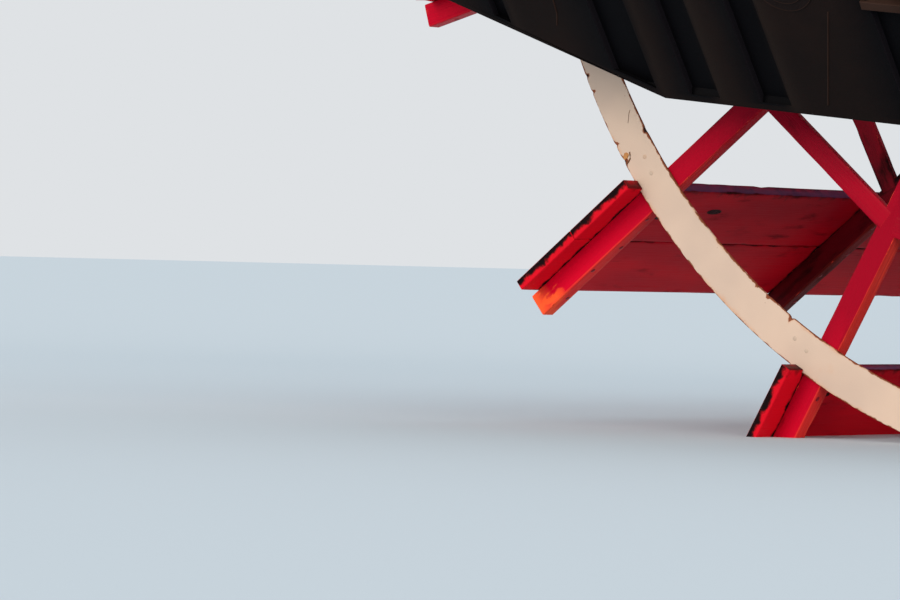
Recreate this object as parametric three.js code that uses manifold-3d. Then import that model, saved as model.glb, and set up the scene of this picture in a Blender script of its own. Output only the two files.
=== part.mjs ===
// A stern paddle wheel of a river steamer, with the two stern beams that carry it.
// Millimetres. +X points forward to the hull, +Y runs along the shaft to the far side, +Z up.
// The origin lies on the shaft's level, midway between the beams' cut ends at the hull.

import * as THREE from 'three';
import { mergeVertices } from 'three/addons/utils/BufferGeometryUtils.js';
import Module from 'manifold-3d';

const wasm = await Module();
wasm.setup();

// Driving dimensions of the wheel
const hullToShaft = 4400; // from the beams' cut ends aft to the shaft
const armCount = 16;
const firstArmDeg = 218.5; // in the XZ plane, from +X towards +Z
const armTipR = 3815;
const armRootR = 300;
const armWide = 108;
const armThick = 76;
const flangePitch = 1830; // along the shaft, centre to centre
const flangeCount = 4;
const ringOuterR = 3040;
const ringInnerR = 2863;
const ringThick = 12;
const innerStrutR = 2220; // from the shaft's axis to the middle of a strut
const outerStrutR = 2858;
const strutWide = 93;
const strutThick = 38;
const plankInnerR = 3022;
const plankOuterR = 3770;
const plankThick = 50;
const plankOverhang = 120; // past the end flanges' outer faces
const seamWide = 8;
const seamDeep = 20;
const ringNotchDeep = 23;
const touch = 0.3; // left between faces that meet

// Shaft, hubs, bearings and cranks
const shaftR = 180;
const journalR = 150;
const hubSleeveR = 288;
const hubDiscR = 750;
const hubDiscThick = 32;
const hubLip = 26; // the sleeve's length past each disc
const bearingClear = 0.9;
const bearingLong = 300; // along the shaft
const bearingMid = 3300; // from the wheel's middle plane
const bearingFootHalf = 560;
const bearingFootThick = 50;
const bearingWebHalf = 430; // where the web meets the foot
const bearingHeadHalf = 320;
const bearingCapR = 270;
const bearingEarThick = 90;
const crankThrow = 760;
const crankBossR = 260;
const crankEyeR = 155;
const crankThick = 150;
const crankInner = 3800; // its inboard face, from the middle plane
const crankPinR = 75;
const crankPinLong = 250;
const crankCollarR = 105;
const crankCollarThick = 30;

// Stern beams, measured from the shaft, and w outboard from the wheel's middle plane
const beamTop = -400;
const beamKnuckle = { x: -1962, z: -1453 };
const beamBellySlope = 0.095; // falls towards the hull
const beamRakeSlope = 0.416; // rises to the stern
const beamAft = -3750;
const beamInnerW = 3010;
const beamOuterW = 3251;
const guardOuterW = 3760;
const guardFlareDeg = 36; // from upright
const guardRecess = 60;
const guardToe = 30; // height of the strip along the belly
const transomAft = 4050; // from the shaft
const transomLow = -1250;

const colours = {
  timber: { color: 0x8f1522, roughness: 0.62, metalness: 0 },
  rim: { color: 0xd9d2c4, roughness: 0.5, metalness: 0.1 },
  iron: { color: 0x7b1420, roughness: 0.55, metalness: 0.3 },
  steel: { color: 0x77736c, roughness: 0.35, metalness: 0.9 },
  beam: { color: 0x1c1512, roughness: 0.6, metalness: 0.1 },
};

// The boards of the guard's flare. Columns: aft edge x, forward edge x, from the shaft
const guardBoards = [
  [-3660, -3480],
  [-3330, -3150],
  [-3000, -2755],
  [-2670, -2190],
  [-1989, -1816],
  [-1657, -1443],
  [-1285, -690],
  [-500, -310],
  [-150, 40],
  [200, 390],
  [550, 740],
  [900, 1090],
  [1250, 1440],
  [1600, 1790],
  [1950, 2140],
  [2300, 2490],
  [2650, 2840],
  [3000, 3190],
  [3350, 3540],
  [3700, 3890],
  [4050, 4240],
];

const wheel = new THREE.Group();
const stern = new THREE.Group();

function add(group, name, geometry, finish) {
  const mesh = new THREE.Mesh(geometry, new THREE.MeshStandardMaterial(finish));
  mesh.name = name;
  group.add(mesh);
}

function solid(geometry) {
  const bare = geometry.index ? geometry.toNonIndexed() : geometry.clone();
  bare.deleteAttribute('normal');
  bare.deleteAttribute('uv');
  const merged = mergeVertices(bare, 1e-4);
  return new wasm.Manifold(new wasm.Mesh({
    numProp: 3,
    vertProperties: merged.attributes.position.array,
    triVerts: Uint32Array.from(merged.index.array),
  }));
}

function surface(body) {
  const mesh = body.getMesh();
  const geometry = new THREE.BufferGeometry();
  geometry.setAttribute('position', new THREE.Float32BufferAttribute(mesh.vertProperties, mesh.numProp));
  geometry.setIndex([...mesh.triVerts]);
  geometry.computeVertexNormals();
  return geometry;
}

function outline(points) {
  return new THREE.Shape(points.map(([a, b]) => new THREE.Vector2(a, b)));
}

// An outline in x and z, drawn out along y
function alongY(shape, fromY, toY, curveSegments = 24) {
  const low = Math.min(fromY, toY);
  const high = Math.max(fromY, toY);
  const geometry = new THREE.ExtrudeGeometry(shape, { depth: high - low, bevelEnabled: false, curveSegments });
  const turn = new THREE.Matrix4().makeBasis(
    new THREE.Vector3(1, 0, 0), new THREE.Vector3(0, 0, 1), new THREE.Vector3(0, -1, 0));
  return geometry.applyMatrix4(turn).translate(0, high, 0);
}

// An outline in y and z, drawn out along x
function alongX(shape, fromX, toX) {
  const geometry = new THREE.ExtrudeGeometry(shape, { depth: toX - fromX, bevelEnabled: false });
  const turn = new THREE.Matrix4().makeBasis(
    new THREE.Vector3(0, 1, 0), new THREE.Vector3(0, 0, 1), new THREE.Vector3(1, 0, 0));
  return geometry.applyMatrix4(turn).translate(fromX, 0, 0);
}

function block(x0, x1, y0, y1, z0, z1) {
  return new THREE.BoxGeometry(x1 - x0, y1 - y0, z1 - z0).translate((x0 + x1) / 2, (y0 + y1) / 2, (z0 + z1) / 2);
}

// Turned about the y axis. Each point is [radius, y], counterclockwise, closed on itself
function turned(points, segments) {
  const profile = [...points, points[0]].map(([r, y]) => new THREE.Vector2(r, y));
  return new THREE.LatheGeometry(profile, segments);
}

// Turns a piece drawn along +x to the angle of an arm, from +x towards +z
function atAngle(geometry, degrees) {
  return geometry.rotateY(-THREE.MathUtils.degToRad(degrees));
}

function armAngle(k) {
  return firstArmDeg + (k * 360) / armCount;
}

// Wheel

const halfSpan = ((flangeCount - 1) * flangePitch) / 2;
const halfPlank = halfSpan + armThick / 2 + plankOverhang;
const flanges = Array.from({ length: flangeCount }, (_, i) => -halfSpan + i * flangePitch);

function armSet(y, ends) {
  const outer = y < 0 ? -1 : 1;
  const face = y + (outer * armThick) / 2;
  const back = face - outer * strutThick;
  const halfStep = Math.PI / armCount;
  const rings = ends ? [innerStrutR] : [innerStrutR, outerStrutR];
  let body = null;
  for (let k = 0; k < armCount; k++) {
    const arm = block(armRootR, armTipR, y - armThick / 2, y + armThick / 2, -armWide / 2, armWide / 2);
    const pieces = [atAngle(arm, armAngle(k))];
    for (const r of rings) {
      // the strut spans from side to side of two arms, and its ends are let into them
      const half = r * Math.tan(halfStep) - armWide / 2 + 30;
      const strut = block(r - strutWide / 2, r + strutWide / 2, Math.min(face, back), Math.max(face, back), -half, half);
      pieces.push(atAngle(strut, armAngle(k + 0.5)));
    }
    for (const piece of pieces) {
      body = body ? body.add(solid(piece)) : solid(piece);
    }
  }
  return surface(body);
}

function hub(y) {
  const halfArm = armThick / 2 + touch;
  const disc = halfArm + hubDiscThick;
  const lip = disc + hubLip;
  const bore = shaftR + touch;
  return turned([
    [bore, y - lip], [hubSleeveR + 40, y - lip], [hubSleeveR + 40, y - disc], [hubDiscR, y - disc],
    [hubDiscR, y - halfArm], [hubSleeveR, y - halfArm], [hubSleeveR, y + halfArm], [hubDiscR, y + halfArm],
    [hubDiscR, y + disc], [hubSleeveR + 40, y + disc], [hubSleeveR + 40, y + lip], [bore, y + lip],
  ], 48);
}

function rimRing(side) {
  const inner = side * (halfSpan + armThick / 2 + touch);
  const outer = inner + side * ringThick;
  const [low, high] = side < 0 ? [outer, inner] : [inner, outer];
  return turned([[ringInnerR, low], [ringOuterR, low], [ringOuterR, high], [ringInnerR, high]], 96);
}

// Two planks, one outside the other, with a groove for the seam on both faces
function paddle(k) {
  const ringIn = halfSpan + armThick / 2 - touch;
  const ringOut = ringIn + ringThick + 3 * touch;
  const notch = plankInnerR + ringNotchDeep;
  const seam = (plankInnerR + plankOuterR) / 2;
  const from = armWide / 2 + touch;
  const to = from + plankThick;
  const half = [
    [halfPlank, plankInnerR], [ringOut, plankInnerR], [ringOut, notch], [ringIn, notch], [ringIn, plankInnerR],
  ];
  const face = outline([
    ...half.map(([y, r]) => [y, r]),
    ...half.map(([y, r]) => [-y, r]).reverse(),
    [-halfPlank, plankOuterR], [halfPlank, plankOuterR],
  ]);
  // drawn in y and radius, then laid against the arm's side on the way that the wheel turns ahead
  const stand = new THREE.Matrix4().makeBasis(
    new THREE.Vector3(0, 1, 0), new THREE.Vector3(1, 0, 0), new THREE.Vector3(0, 0, -1));
  const board = new THREE.ExtrudeGeometry(face, { depth: plankThick, bevelEnabled: false });
  board.applyMatrix4(stand).translate(0, 0, -from);
  let body = solid(board);
  for (const z of [-from - seamDeep / 2, -to + seamDeep / 2]) {
    const groove = block(seam - seamWide / 2, seam + seamWide / 2, -halfPlank - 1, halfPlank + 1,
      z - seamDeep / 2 - (z < -from - seamDeep ? 1 : 0), z + seamDeep / 2 + (z < -from - seamDeep ? 0 : 1));
    body = body.subtract(solid(groove));
  }
  return atAngle(surface(body), armAngle(k));
}

function shaft() {
  const half = crankInner + crankThick;
  const step = halfSpan + armThick / 2 + 165;
  return new THREE.LatheGeometry([
    [0, -half], [journalR, -half], [journalR, -step], [shaftR, -step],
    [shaftR, step], [journalR, step], [journalR, half], [0, half],
  ].map(([r, y]) => new THREE.Vector2(r, y)), 48);
}

function crank(side, degrees) {
  const lean = Math.asin((crankBossR - crankEyeR) / crankThrow);
  const web = new THREE.Shape();
  web.absarc(0, 0, crankBossR, Math.PI / 2 - lean, 1.5 * Math.PI + lean, false);
  web.absarc(crankThrow, 0, crankEyeR, -Math.PI / 2 + lean, Math.PI / 2 - lean, false);
  web.closePath();
  const bore = new THREE.Path();
  bore.absarc(0, 0, journalR + touch, 0, 2 * Math.PI, true);
  web.holes.push(bore);
  const outer = side * (crankInner + crankThick);
  const tip = outer + side * crankPinLong;
  const pin = new THREE.Shape().absarc(crankThrow, 0, crankPinR, 0, 2 * Math.PI, false);
  const collar = new THREE.Shape().absarc(crankThrow, 0, crankCollarR, 0, 2 * Math.PI, false);
  const body = solid(alongY(web, side * crankInner, outer))
    .add(solid(alongY(pin, outer - side * 20, tip)))
    .add(solid(alongY(collar, tip - side * crankCollarThick, tip)));
  return atAngle(surface(body), degrees);
}

// The cranks stand at right angles, and both hang down, so that the wheel rests as it is stored
const sides = [
  { name: 'near', side: -1, crankDeg: -45 },
  { name: 'far', side: 1, crankDeg: -135 },
];

add(wheel, 'wheel_shaft', shaft(), colours.steel);
flanges.forEach((y, i) => {
  const end = i === 0 || i === flangeCount - 1;
  add(wheel, `hub_${i + 1}`, hub(y), colours.iron);
  add(wheel, `arm_set_${i + 1}`, armSet(y, end), colours.timber);
});
for (let k = 0; k < armCount; k++) {
  add(wheel, `paddle_${String(k + 1).padStart(2, '0')}`, paddle(k), colours.timber);
}
for (const { name, side, crankDeg } of sides) {
  add(wheel, `${name}_rim_ring`, rimRing(side), colours.rim);
  add(wheel, `${name}_crank`, crank(side, crankDeg), colours.steel);
}

// Stern

function bellyZ(x) {
  return beamKnuckle.z - beamBellySlope * (x - beamKnuckle.x);
}

const beamSide = outline([
  [hullToShaft, beamTop], [beamAft, beamTop],
  [beamAft, beamKnuckle.z + beamRakeSlope * (beamKnuckle.x - beamAft)],
  [beamKnuckle.x, beamKnuckle.z], [hullToShaft, bellyZ(hullToShaft)],
]);

function beam(side) {
  return alongY(beamSide, side * beamInnerW, side * beamOuterW);
}

// What the flare takes off the guard below and outboard of a plane that is drop above the belly's edge
function flareCut(side, drop) {
  const tan = Math.tan(THREE.MathUtils.degToRad(guardFlareDeg));
  const reach = guardOuterW + 200;
  const low = -300;
  const section = outline([
    [side * (beamOuterW + (low - drop) * tan), low],
    [side * reach, (reach - beamOuterW) / tan + drop],
    [side * reach, low],
  ]);
  const cut = alongX(section, beamAft - beamKnuckle.x - 900, hullToShaft - beamKnuckle.x + 900);
  return cut.rotateY(Math.atan(beamBellySlope)).translate(beamKnuckle.x, 0, beamKnuckle.z);
}

// A flared guard outside the beam: boards stand proud of a recessed skin, over a toe strip
function guard(side) {
  const from = beamOuterW + touch;
  const whole = solid(alongY(beamSide, side * from, side * guardOuterW)).subtract(solid(flareCut(side, 0)));
  const toe = outline([
    [hullToShaft, bellyZ(hullToShaft) - 1], [hullToShaft, bellyZ(hullToShaft) + guardToe],
    [beamKnuckle.x, beamKnuckle.z + guardToe],
    [beamAft, beamKnuckle.z + beamRakeSlope * (beamKnuckle.x - beamAft) + guardToe],
    [beamAft, beamKnuckle.z + beamRakeSlope * (beamKnuckle.x - beamAft) - 1],
    [beamKnuckle.x, beamKnuckle.z - 1],
  ]);
  let body = whole.subtract(solid(flareCut(side, guardRecess)));
  body = body.add(whole.intersect(solid(alongY(toe, side * from, side * guardOuterW))));
  const depth = [beamKnuckle.z - 800, beamTop + 1];
  for (const [aft, fore] of guardBoards) {
    const [y0, y1] = [side * from, side * guardOuterW].sort((a, b) => a - b);
    body = body.add(whole.intersect(solid(block(aft, fore, y0, y1, ...depth))));
  }
  return surface(body);
}

function transom() {
  const half = beamInnerW - touch;
  return block(transomAft, hullToShaft, -half, half, transomLow, beamTop);
}

function bearingBase(side) {
  const bore = journalR + bearingClear;
  const foot = beamTop + touch;
  const base = new THREE.Shape();
  base.moveTo(-bearingFootHalf, foot);
  base.lineTo(bearingFootHalf, foot);
  base.lineTo(bearingFootHalf, foot + bearingFootThick);
  base.lineTo(bearingWebHalf, foot + bearingFootThick);
  base.lineTo(bearingHeadHalf, -bearingEarThick);
  base.lineTo(bearingHeadHalf, -touch / 2);
  base.lineTo(bore, -touch / 2);
  base.absarc(0, 0, bore, 0, Math.PI, true);
  base.lineTo(-bearingHeadHalf, -touch / 2);
  base.lineTo(-bearingHeadHalf, -bearingEarThick);
  base.lineTo(-bearingWebHalf, foot + bearingFootThick);
  base.lineTo(-bearingFootHalf, foot + bearingFootThick);
  base.closePath();
  return alongY(base, side * (bearingMid - bearingLong / 2), side * (bearingMid + bearingLong / 2));
}

function bearingCap(side) {
  const bore = journalR + bearingClear;
  const ear = Math.sqrt(bearingCapR ** 2 - bearingEarThick ** 2);
  const rise = Math.asin(bearingEarThick / bearingCapR);
  const cap = new THREE.Shape();
  cap.moveTo(bore, touch / 2);
  cap.lineTo(bearingHeadHalf, touch / 2);
  cap.lineTo(bearingHeadHalf, bearingEarThick);
  cap.lineTo(ear, bearingEarThick);
  cap.absarc(0, 0, bearingCapR, rise, Math.PI - rise, false);
  cap.lineTo(-bearingHeadHalf, bearingEarThick);
  cap.lineTo(-bearingHeadHalf, touch / 2);
  cap.lineTo(-bore, touch / 2);
  cap.absarc(0, 0, bore, Math.PI, 0, true);
  cap.closePath();
  return alongY(cap, side * (bearingMid - bearingLong / 2), side * (bearingMid + bearingLong / 2));
}

for (const { name, side } of sides) {
  add(stern, `${name}_beam`, beam(side), colours.beam);
  add(stern, `${name}_guard`, guard(side), colours.beam);
  add(stern, `${name}_bearing_base`, bearingBase(side), colours.iron);
  add(stern, `${name}_bearing_cap`, bearingCap(side), colours.iron);
}
add(stern, 'transom_beam', transom(), colours.beam);

const part = new THREE.Group();
part.add(wheel, stern);
part.position.x = -hullToShaft;

export default part;
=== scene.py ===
import logging
from collections.abc import Iterable, Sequence
from dataclasses import dataclass, field
from enum import Enum
from math import asin, atan, copysign, cos, degrees, exp, pi, radians, sin, tan

import bmesh
import bpy
from mathutils import Euler, Matrix, Vector, noise


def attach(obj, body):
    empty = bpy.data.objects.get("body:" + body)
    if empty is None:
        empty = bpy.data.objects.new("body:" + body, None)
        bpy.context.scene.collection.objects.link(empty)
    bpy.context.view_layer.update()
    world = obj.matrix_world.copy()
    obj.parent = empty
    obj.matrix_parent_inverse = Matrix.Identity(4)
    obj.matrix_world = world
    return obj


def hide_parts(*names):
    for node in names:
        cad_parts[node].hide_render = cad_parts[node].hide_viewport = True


# Looks of a stern paddle wheel and of the beams that carry it.
# Metres. +X points forward to the hull, +Y runs along the shaft to the far side, +Z is up.

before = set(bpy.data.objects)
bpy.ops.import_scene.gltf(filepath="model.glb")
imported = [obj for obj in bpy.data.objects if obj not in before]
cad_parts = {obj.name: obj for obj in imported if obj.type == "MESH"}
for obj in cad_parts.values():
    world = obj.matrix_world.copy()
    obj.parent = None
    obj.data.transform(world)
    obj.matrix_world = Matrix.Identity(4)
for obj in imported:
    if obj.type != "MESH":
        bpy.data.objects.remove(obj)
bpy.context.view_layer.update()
log = logging.getLogger("paddle_wheel")

Pair = tuple[float, float]
Triple = tuple[float, float, float]
Colour = tuple[float, float, float, float]
Tree = bpy.types.NodeTree
Socket = bpy.types.NodeSocket

SHAFT_X = -4.4
ARM_COUNT = 16
FIRST_ARM = radians(218.5)  # in the XZ plane, from +X towards +Z
ARM_STEP = 2 * pi / ARM_COUNT
ARM_ANGLES = tuple(FIRST_ARM + k * ARM_STEP for k in range(ARM_COUNT))
ARM_WIDE = 0.108
ARM_THICK = 0.076
FLANGES = (-2.745, -0.915, 0.915, 2.745)
SEAT = 0.0003  # the gap between faces that meet
SMOOTH_BELOW = radians(35)  # flatter edges are shaded smooth
WATERLINE = -2.916
FORE, FAR, UP = Vector((1, 0, 0)), Vector((0, 1, 0)), Vector((0, 0, 1))


class Body(Enum):
    """The two moving bodies of the part."""

    STERN = "stern_frame"
    WHEEL = "paddle_wheel"


class Side(Enum):
    """The two ends of the shaft."""

    NEAR = -1
    FAR = 1

    @property
    def word(self) -> str:
        """The side's name as the pieces carry it."""
        return self.name.lower()


# Shader helpers

def colour(code: str) -> Colour:
    """Turns an sRGB hex colour to linear.

    Args:
        code: six hex digits after a hash.

    Returns:
        Linear red, green, blue and an alpha of 1.
    """
    parts = [int(code[i:i + 2], 16) / 255 for i in (1, 3, 5)]
    linear = [c / 12.92 if c <= 0.04045 else ((c + 0.055) / 1.055) ** 2.4 for c in parts]
    return (*linear, 1.0)


def add_node(
    tree: Tree, kind: str, settings: dict[str | int, object] | None = None,
    links: dict[str | int, Socket] | None = None, out: str | int = 0,
) -> Socket:
    """Adds a node with its settings and links.

    Args:
        tree: the tree that gets the node.
        kind: the node's type name after the word ShaderNode, and after a colon its operation if it has one.
        settings: values for inputs, by name or number, or for the node's own settings.
        links: the sockets that feed inputs, by the input's name or number.
        out: the output that is wanted, by name or number.

    Returns:
        That output's socket, whose node is the new one.
    """
    kind, _, operation = kind.partition(":")
    node = tree.nodes.new("ShaderNode" + kind)
    if operation:
        node.operation = operation
    for key, value in (settings or {}).items():
        if isinstance(key, int) or key in node.inputs:
            node.inputs[key].default_value = value
        else:
            setattr(node, key, value)
    for key, source in (links or {}).items():
        tree.links.new(source, node.inputs[key])
    return node.outputs[out]


def coated(tree: Tree, paint: Socket | str, coats: Sequence[tuple[Socket, Socket | str]]) -> Socket:
    """Lays coats of colour over one another.

    Args:
        tree: the material's tree.
        paint: the lowest colour's hex digits, or the socket that gives it.
        coats: from the lowest up, how much of each shows, from 0 to 1, with its colour in the same way.

    Returns:
        The socket of the colour that the eye sees.
    """
    for share, tone in coats:
        settings: dict[str | int, object] = {"data_type": "RGBA"}
        links = {0: share}
        for slot, value in ((6, paint), (7, tone)):
            if isinstance(value, str):
                settings[slot] = colour(value)
            else:
                links[slot] = value
        paint = add_node(tree, "Mix", settings, links, 2)
    return paint


@dataclass(frozen=True)
class Patches:
    """Irregular patches in a surface, such as chips, dirt or fading.

    Attributes:
        size_mm: how large a patch is along, across and through the grain, or one size for all three.
        start: the pattern's value at which a patch begins. Half the surface lies above 0.5.
        full: the value at which it is complete.
        push: how much the edge wear helps it on.
        detail: how broken its outline is.
    """

    size_mm: Triple | float
    start: float
    full: float
    push: float = 0.0
    detail: float = 3.0

    def mask(self, tree: Tree, where: Socket, wear: Socket | None = None) -> Socket:
        """Draws the patches.

        Args:
            tree: the material's tree.
            where: coordinates in metres.
            wear: the edge wear, from 0 to 1.

        Returns:
            A socket that is 1 inside the patches.
        """
        sizes = self.size_mm if isinstance(self.size_mm, tuple) else (self.size_mm,) * 3
        per_metre = tuple(1000 / size for size in sizes)
        scaled = add_node(tree, "VectorMath:MULTIPLY", {1: per_metre}, {0: where})
        value = add_node(
            tree, "TexNoise", {"Scale": 1.0, "Detail": self.detail, "Roughness": 0.6}, {"Vector": scaled},
            out="Fac")
        if wear is not None and self.push:
            value = add_node(tree, "Math:MULTIPLY_ADD", {1: self.push}, {0: wear, 2: value})
        return add_node(
            tree, "MapRange",
            {"interpolation_type": "SMOOTHSTEP", "From Min": self.start, "From Max": self.full},
            {"Value": value})


@dataclass(frozen=True)
class Finish:
    """A material, from what it is made of and how its surface was made.

    Attributes:
        name: what it is.
        smooth: its roughness where it is clean.
        matt: its roughness where it is dull.
        gloss: how strongly its surface mirrors. Bare metal keeps 0.5.
    """

    name: str
    smooth: float = 0.4
    matt: float = 0.8
    gloss: float = 0.5

    def start(self) -> tuple[bpy.types.Material, Tree, bpy.types.Node]:
        """Makes the empty material.

        Returns:
            The material, its tree and its surface shader.
        """
        material = bpy.data.materials.new(self.name)
        material.use_nodes = True
        tree = material.node_tree
        return material, tree, tree.nodes["Principled BSDF"]

    def traces(self, tree: Tree) -> tuple[Socket, Socket]:
        """Reads the place in the grain and the edge wear, which every mesh carries."""
        grain = add_node(tree, "Attribute", {"attribute_name": "grain"}, out="Vector")
        return grain, add_node(tree, "Attribute", {"attribute_name": "wear"}, out="Fac")

    def roughness(self, tree: Tree, dull: Socket) -> Socket:
        """Turns the share of dull surface into a roughness."""
        return add_node(tree, "MapRange", {"To Min": self.smooth, "To Max": self.matt}, {"Value": dull})

    def cover(self, tree: Tree, shader: bpy.types.Node, paint: Socket, rough: Socket) -> None:
        """Gives the surface its colour, its roughness and its gloss.

        Args:
            tree: the material's tree.
            shader: its surface shader.
            paint: the colour.
            rough: the roughness.
        """
        tree.links.new(paint, shader.inputs["Base Color"])
        tree.links.new(rough, shader.inputs["Roughness"])
        shader.inputs["Specular IOR Level"].default_value = self.gloss

    def carve(self, tree: Tree, shader: bpy.types.Node, heights: Sequence[tuple[Socket, float]]) -> None:
        """Gives the surface its relief.

        Args:
            tree: the material's tree.
            shader: its surface shader.
            heights: patterns from 0 to 1, each with its height in millimetres, negative for a hollow.
        """
        below: dict[str | int, Socket] = {}
        for pattern, height_mm in heights:
            settings = {"Strength": 1.0, "Distance": abs(height_mm) / 1000, "invert": height_mm < 0}
            below = {"Normal": add_node(tree, "Bump", settings, {"Height": pattern, **below})}
        tree.links.new(below["Normal"], shader.inputs["Normal"])


@dataclass(frozen=True)
class PaintedTimber(Finish):
    """Sawn larch under brushed paint.

    The eye sees a deep, wet colour with faint brush lines along the grain. It is painted brighter towards the
    wheel's outer edge and darker towards the hub, a painted light and shade; it is dull where river soil
    sits, and nearly black where the wood is bare and wet.
    """

    fresh: str = "#d2052b"
    deep: str = "#9c0522"
    undercoat: str = "#e64834"
    bare: str = "#0e0909"
    soil: str = "#1c0608"
    fading: Patches = Patches((900, 260, 260), 0.35, 0.70, detail=2)
    brushing: Patches = Patches((420, 5, 5), 0.30, 0.75, detail=2)
    chips_from: float = 0.92
    chip_edge: float = 0.03
    chip_mm: Triple = (90, 20, 20)
    chip_detail: float = 5.0
    # how much further in a chip the wood is bare
    bare_after: float = 0.05
    soil_mm: Triple = (260, 70, 70)
    soil_from: float = 0.60
    soil_full: float = 0.95
    # the radii between which painted light brightens it towards the wheel's outer edge, and how bright it is
    # at them
    light_from: float = 2.7
    light_full: float = 3.7
    light_shares: Pair = (-0.25, 0.75)
    fading_share: float = 0.5
    brush_share: float = 0.18
    bare_rough: float = 0.25
    smooth: float = 0.36
    matt: float = 0.60
    gloss: float = 0.04

    def build(self) -> bpy.types.Material:
        """Makes the painted timber."""
        material, tree, shader = self.start()
        grain, wear = self.traces(tree)
        where = add_node(tree, "TexCoord", out="Object")
        radius = self.radius(tree, where)
        faded = self.fading.mask(tree, grain)
        brush = self.brushing.mask(tree, grain)
        soiled = Patches(self.soil_mm, self.soil_from, self.soil_full, push=0.10, detail=5).mask(
            tree, grain, wear)
        chipped, bared = (
            Patches(self.chip_mm, start, start + self.chip_edge, push=0.34, detail=self.chip_detail).mask(
                tree, grain, wear)
            for start in (self.chips_from, self.chips_from + self.bare_after))
        # painted light and shade: brighter towards the wheel's outer edge, darker towards the hub; the fading
        # patches add to it
        radial_light = add_node(
            tree, "MapRange",
            {"From Min": self.light_from, "From Max": self.light_full,
             "To Min": self.light_shares[0], "To Max": self.light_shares[1]}, {"Value": radius})
        bright_share = add_node(
            tree, "Math:MULTIPLY_ADD", {1: self.fading_share, "use_clamp": True}, {0: faded, 2: radial_light})
        line = add_node(tree, "Math:MULTIPLY", {1: self.brush_share}, {0: brush})
        paint = coated(tree, self.deep, [(bright_share, self.fresh), (line, self.deep), (soiled, self.soil)])
        paint = self.weather(tree, where, radius, grain, paint)
        paint = coated(tree, paint, [(chipped, self.undercoat), (bared, self.bare)])
        rough = add_node(
            tree, "Math:MULTIPLY_ADD", {1: self.bare_rough, "use_clamp": True},
            {0: bared, 2: self.roughness(tree, soiled)})
        self.cover(tree, shader, paint, rough)
        self.carve(tree, shader, [(brush, 0.5), (chipped, -0.5), (bared, -0.8)])
        return material

    def weather(self, tree: Tree, where: Socket, radius: Socket, grain: Socket, paint: Socket) -> Socket:
        """Leaves the paint as it is."""
        return paint

    def radius(self, tree: Tree, where: Socket) -> Socket:
        """Finds how far each point is from the shaft's axis, in metres."""
        flat = add_node(tree, "VectorMath:MULTIPLY_ADD", {1: (1, 0, 1), 2: (-SHAFT_X, 0, 0)}, {0: where})
        return add_node(tree, "VectorMath:LENGTH", links={0: flat}, out="Value")

    def faces_ahead(self, tree: Tree, where: Socket) -> Socket:
        """Finds the faces that look the way the angles grow: where the arms lie on the planks.

        Args:
            tree: the material's tree.
            where: the surface's place in the part's frame.

        Returns:
            A socket that is 1 on those faces and 0 on the others.
        """
        from_axis = add_node(tree, "VectorMath:SUBTRACT", {1: (SHAFT_X, 0, 0)}, {0: where})
        ahead = add_node(tree, "VectorMath:CROSS_PRODUCT", {1: (0, 1, 0)}, {0: from_axis})
        normal = add_node(tree, "TexCoord", out="Normal")
        turned = add_node(tree, "VectorMath:DOT_PRODUCT", links={0: ahead, 1: normal}, out="Value")
        return add_node(tree, "Math:GREATER_THAN", {1: 0.5}, {0: turned})


@dataclass(frozen=True)
class ArmPaint(PaintedTimber):
    """Crimson paint on the arms.

    The eye sees the same red, orange at the tips, most of all low on the wheel: worn primer and a painted
    highlight. The faces ahead carry a streaked painted highlight in the undercoat's orange, and the inner
    arms a painted shade low on the wheel.
    """

    primer: str = "#fb5c30"
    rubbing: Patches = Patches((120, 60, 60), 0.42, 0.60, detail=4)
    streaking: Patches = Patches((600, 24, 24), 0.54, 0.74, detail=3)
    # the radius where the orange of worn primer and painted highlight starts, and how far in rubbing and the
    # low band bring it, in metres
    primer_from: float = 9.0
    primer_fade: float = 0.09
    # the heights over which the band low on the wheel fades in, which strengthens the painted highlight and,
    # on the inner arms, the painted shade
    low_heights: Pair = (-1.6, -2.2)
    primer_ragged: float = 0.10
    primer_low: float = 0.18
    # how much painted shade darkens the arms in the low band; only the inner arms have it
    low_shade: float = 0.0
    # how much painted highlight in the undercoat's orange the faces ahead get in the low band, and on all
    side_light: Pair = (0.36, 0.08)
    streak_share: float = 0.45

    def weather(self, tree: Tree, where: Socket, radius: Socket, grain: Socket, paint: Socket) -> Socket:
        """Paints an arm's tip orange, worn primer with a painted highlight, a streaked painted highlight on
        its faces ahead and, where it is set, painted shade low on the wheel.

        Args:
            tree: the material's tree.
            where: the surface's place in the part's frame.
            radius: its distance from the shaft's axis.
            grain: its place in the timber.
            paint: the colour so far.

        Returns:
            The colour with these marks on it.
        """
        near_tip = add_node(
            tree, "Math:MULTIPLY_ADD", {1: self.primer_ragged},
            {0: self.rubbing.mask(tree, grain), 2: radius})
        # wet: the band low on the wheel, which steers the painted highlight and the painted shade
        height = add_node(tree, "SeparateXYZ", links={0: where}, out=2)
        wet = add_node(
            tree, "MapRange", {"From Min": self.low_heights[0], "From Max": self.low_heights[1]}, {"Value": height})
        near_tip = add_node(tree, "Math:MULTIPLY_ADD", {1: self.primer_low}, {0: wet, 2: near_tip})
        # orange at the tips: worn primer with a painted highlight
        primed_and_lit = add_node(
            tree, "MapRange", {"From Min": self.primer_from, "From Max": self.primer_from + self.primer_fade},
            {"Value": near_tip})
        # a painted highlight in the undercoat's orange on the faces ahead, streaked like worn paint, more of
        # it in the low band
        side_lit = add_node(tree, "Math:MULTIPLY_ADD", {1: self.side_light[0], 2: self.side_light[1]}, {0: wet})
        worn = add_node(
            tree, "Math:MULTIPLY_ADD", {1: self.streak_share, "use_clamp": True},
            {0: self.streaking.mask(tree, grain), 2: side_lit})
        worn = add_node(tree, "Math:MULTIPLY", links={0: worn, 1: self.faces_ahead(tree, where)})
        # painted shade in the low band, on the inner arms
        shaded_low = add_node(tree, "Math:MULTIPLY", {1: self.low_shade}, {0: wet})
        return coated(tree, paint, [(primed_and_lit, self.primer), (worn, self.undercoat), (shaded_low, self.soil)])


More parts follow.
